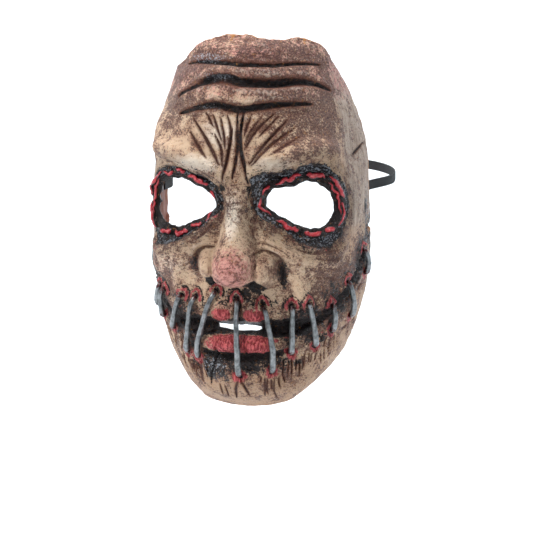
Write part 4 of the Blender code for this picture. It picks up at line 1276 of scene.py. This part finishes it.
def woven_elastic():
    """Black braid: fine ribs along the band crossed by short weft floats, a little dust grey."""
    material = bpy.data.materials.new("woven_elastic")
    material.use_nodes = True
    tree = material.node_tree
    shader = tree.nodes["Principled BSDF"]
    place = add_node(tree, "ShaderNodeUVMap", uv_map="band").outputs[0]
    apart = add_node(tree, "ShaderNodeSeparateXYZ", {0: place})
    rib = sums(tree, "SINE", sums(tree, "MULTIPLY", apart.outputs[1], 2 * math.pi / 0.0008), 0.0)
    float_row = sums(
        tree, "SINE", sums(tree, "MULTIPLY", apart.outputs[0], 2 * math.pi / 0.0013), 0.0
    )
    weave = sums(tree, "MULTIPLY", rib, float_row)
    fluff = grain(tree, 1500.0, 3.0)
    shade = between(tree, sums(tree, "ADD", weave, fluff), -0.6, 1.8)
    thread = coat(tree, colour(7, 7, 9), colour(30, 30, 33), shade)
    tree.links.new(thread, shader.inputs["Base Color"])
    shader.inputs["Roughness"].default_value = 0.82
    marks = add_node(tree, "ShaderNodeBump", {"Height": weave, "Strength": 0.5, "Distance": 0.0002})
    tree.links.new(marks.outputs[0], shader.inputs["Normal"])
    return material


points, faces, uv = strap_mesh()
strap = new_mesh("woven_strap", points, faces, woven_elastic())
band = strap.data.uv_layers.new(name="band")
band.data.foreach_set("uv", uv[faces.ravel()].astype(np.float32).ravel())
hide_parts("elastic_strap")

# Studio
# Pale paper that turns up into a wall all round, one soft light from the front left, weaker ones
# from the right and above, and the camera of the product photograph.

FLOOR_Z = -420.0
PAPER_RADIUS = 2600.0


def paper_mesh():
    """A floor that turns up into a wall on a quarter circle, the same all the way round; a strip
    of faces closes the small ring in its middle."""
    bend = np.linspace(0, math.pi / 2, 16)
    turned = 700.0
    radius = np.concatenate(
        [[1.0, 900.0], PAPER_RADIUS - turned + turned * np.sin(bend), [PAPER_RADIUS]]
    )
    up = np.concatenate([[0.0, 0.0], turned - turned * np.cos(bend), [3400.0]]) + FLOOR_Z
    turns = np.linspace(0, 2 * math.pi, 96, endpoint=False)
    rings = np.stack(np.broadcast_arrays(
        radius[:, None] * np.cos(turns), radius[:, None] * np.sin(turns), up[:, None]), axis=-1)
    return rings.reshape(-1, 3), tube_faces(len(radius), 96)[:-47, ::-1]


def paper():
    """Matt white paper with a very faint blue."""
    material = bpy.data.materials.new("white_paper")
    material.use_nodes = True
    tree = material.node_tree
    shader = tree.nodes["Principled BSDF"]
    white = coat(tree, colour(244, 248, 251), colour(238, 243, 247), grain(tree, 3.0))
    tree.links.new(white, shader.inputs["Base Color"])
    shader.inputs["Roughness"].default_value = 0.95
    return material


points, faces = paper_mesh()
mesh = bpy.data.meshes.new("paper_sweep")
mesh.from_pydata((points * MM).tolist(), [], faces.tolist())
mesh.polygons.foreach_set("use_smooth", np.ones(len(faces), bool))
mesh.materials.append(paper())
floor = bpy.data.objects.new("paper_sweep", mesh)
bpy.context.scene.collection.objects.link(floor)

Lamp = namedtuple("Lamp", "name place target size power tint")
LAMPS = (
    Lamp("key_light", (-0.66, -0.92, 1.02), (0, -0.05, -0.02), 0.34, 17.5, (1.0, 0.98, 0.97)),
    Lamp("fill_light", (1.25, -0.85, 0.15), (0, 0, 0), 0.9, 1.6, (0.97, 0.985, 1.0)),
    Lamp("top_light", (0.1, 0.25, 1.25), (0, 0, 0), 0.7, 2.0, (1.0, 1.0, 1.0)),
    Lamp("left_light", (-1.3, -0.1, 0.0), (0, 0, 0), 0.7, 2.4, (1.0, 1.0, 1.0)),
    Lamp("paper_light", (0.0, 0.5, 1.9), (0, 2.2, 0.1), 1.6, 80.0, (1.0, 1.0, 1.0)),
)
for lamp in LAMPS:
    light = bpy.data.lights.new(lamp.name, "AREA")
    light.shape = "DISK"
    light.size = lamp.size
    light.energy = lamp.power
    light.color = lamp.tint
    holder = bpy.data.objects.new(lamp.name, light)
    holder.location = lamp.place
    way = Vector(lamp.target) - Vector(lamp.place)
    holder.rotation_euler = way.to_track_quat("-Z", "Y").to_euler()
    bpy.context.scene.collection.objects.link(holder)

world = bpy.data.worlds.new("studio")
world.use_nodes = True
world.node_tree.nodes["Background"].inputs["Color"].default_value = (0.93, 0.96, 1.0, 1)
world.node_tree.nodes["Background"].inputs["Strength"].default_value = 0.10
bpy.context.scene.world = world
bpy.context.scene.view_settings.view_transform = "Standard"

AZIMUTH = math.radians(14)
ELEVATION = math.radians(6)
CAMERA_AWAY = 1.1
CAMERA_TARGET = Vector((0, -0.080, 0.0136))

lens = bpy.data.cameras.new("photo_camera")
lens.sensor_width = 36
lens.lens = 121.1
lens.shift_x = 0.0553
lens.shift_y = -0.1548
camera = bpy.data.objects.new("photo_camera", lens)
back = Vector((
    math.sin(AZIMUTH) * math.cos(ELEVATION),
    -math.cos(AZIMUTH) * math.cos(ELEVATION),
    math.sin(ELEVATION),
))
camera.location = CAMERA_TARGET + CAMERA_AWAY * back
camera.rotation_euler = (-back).to_track_quat("-Z", "Y").to_euler()
bpy.context.scene.collection.objects.link(camera)
bpy.context.scene.camera = camera
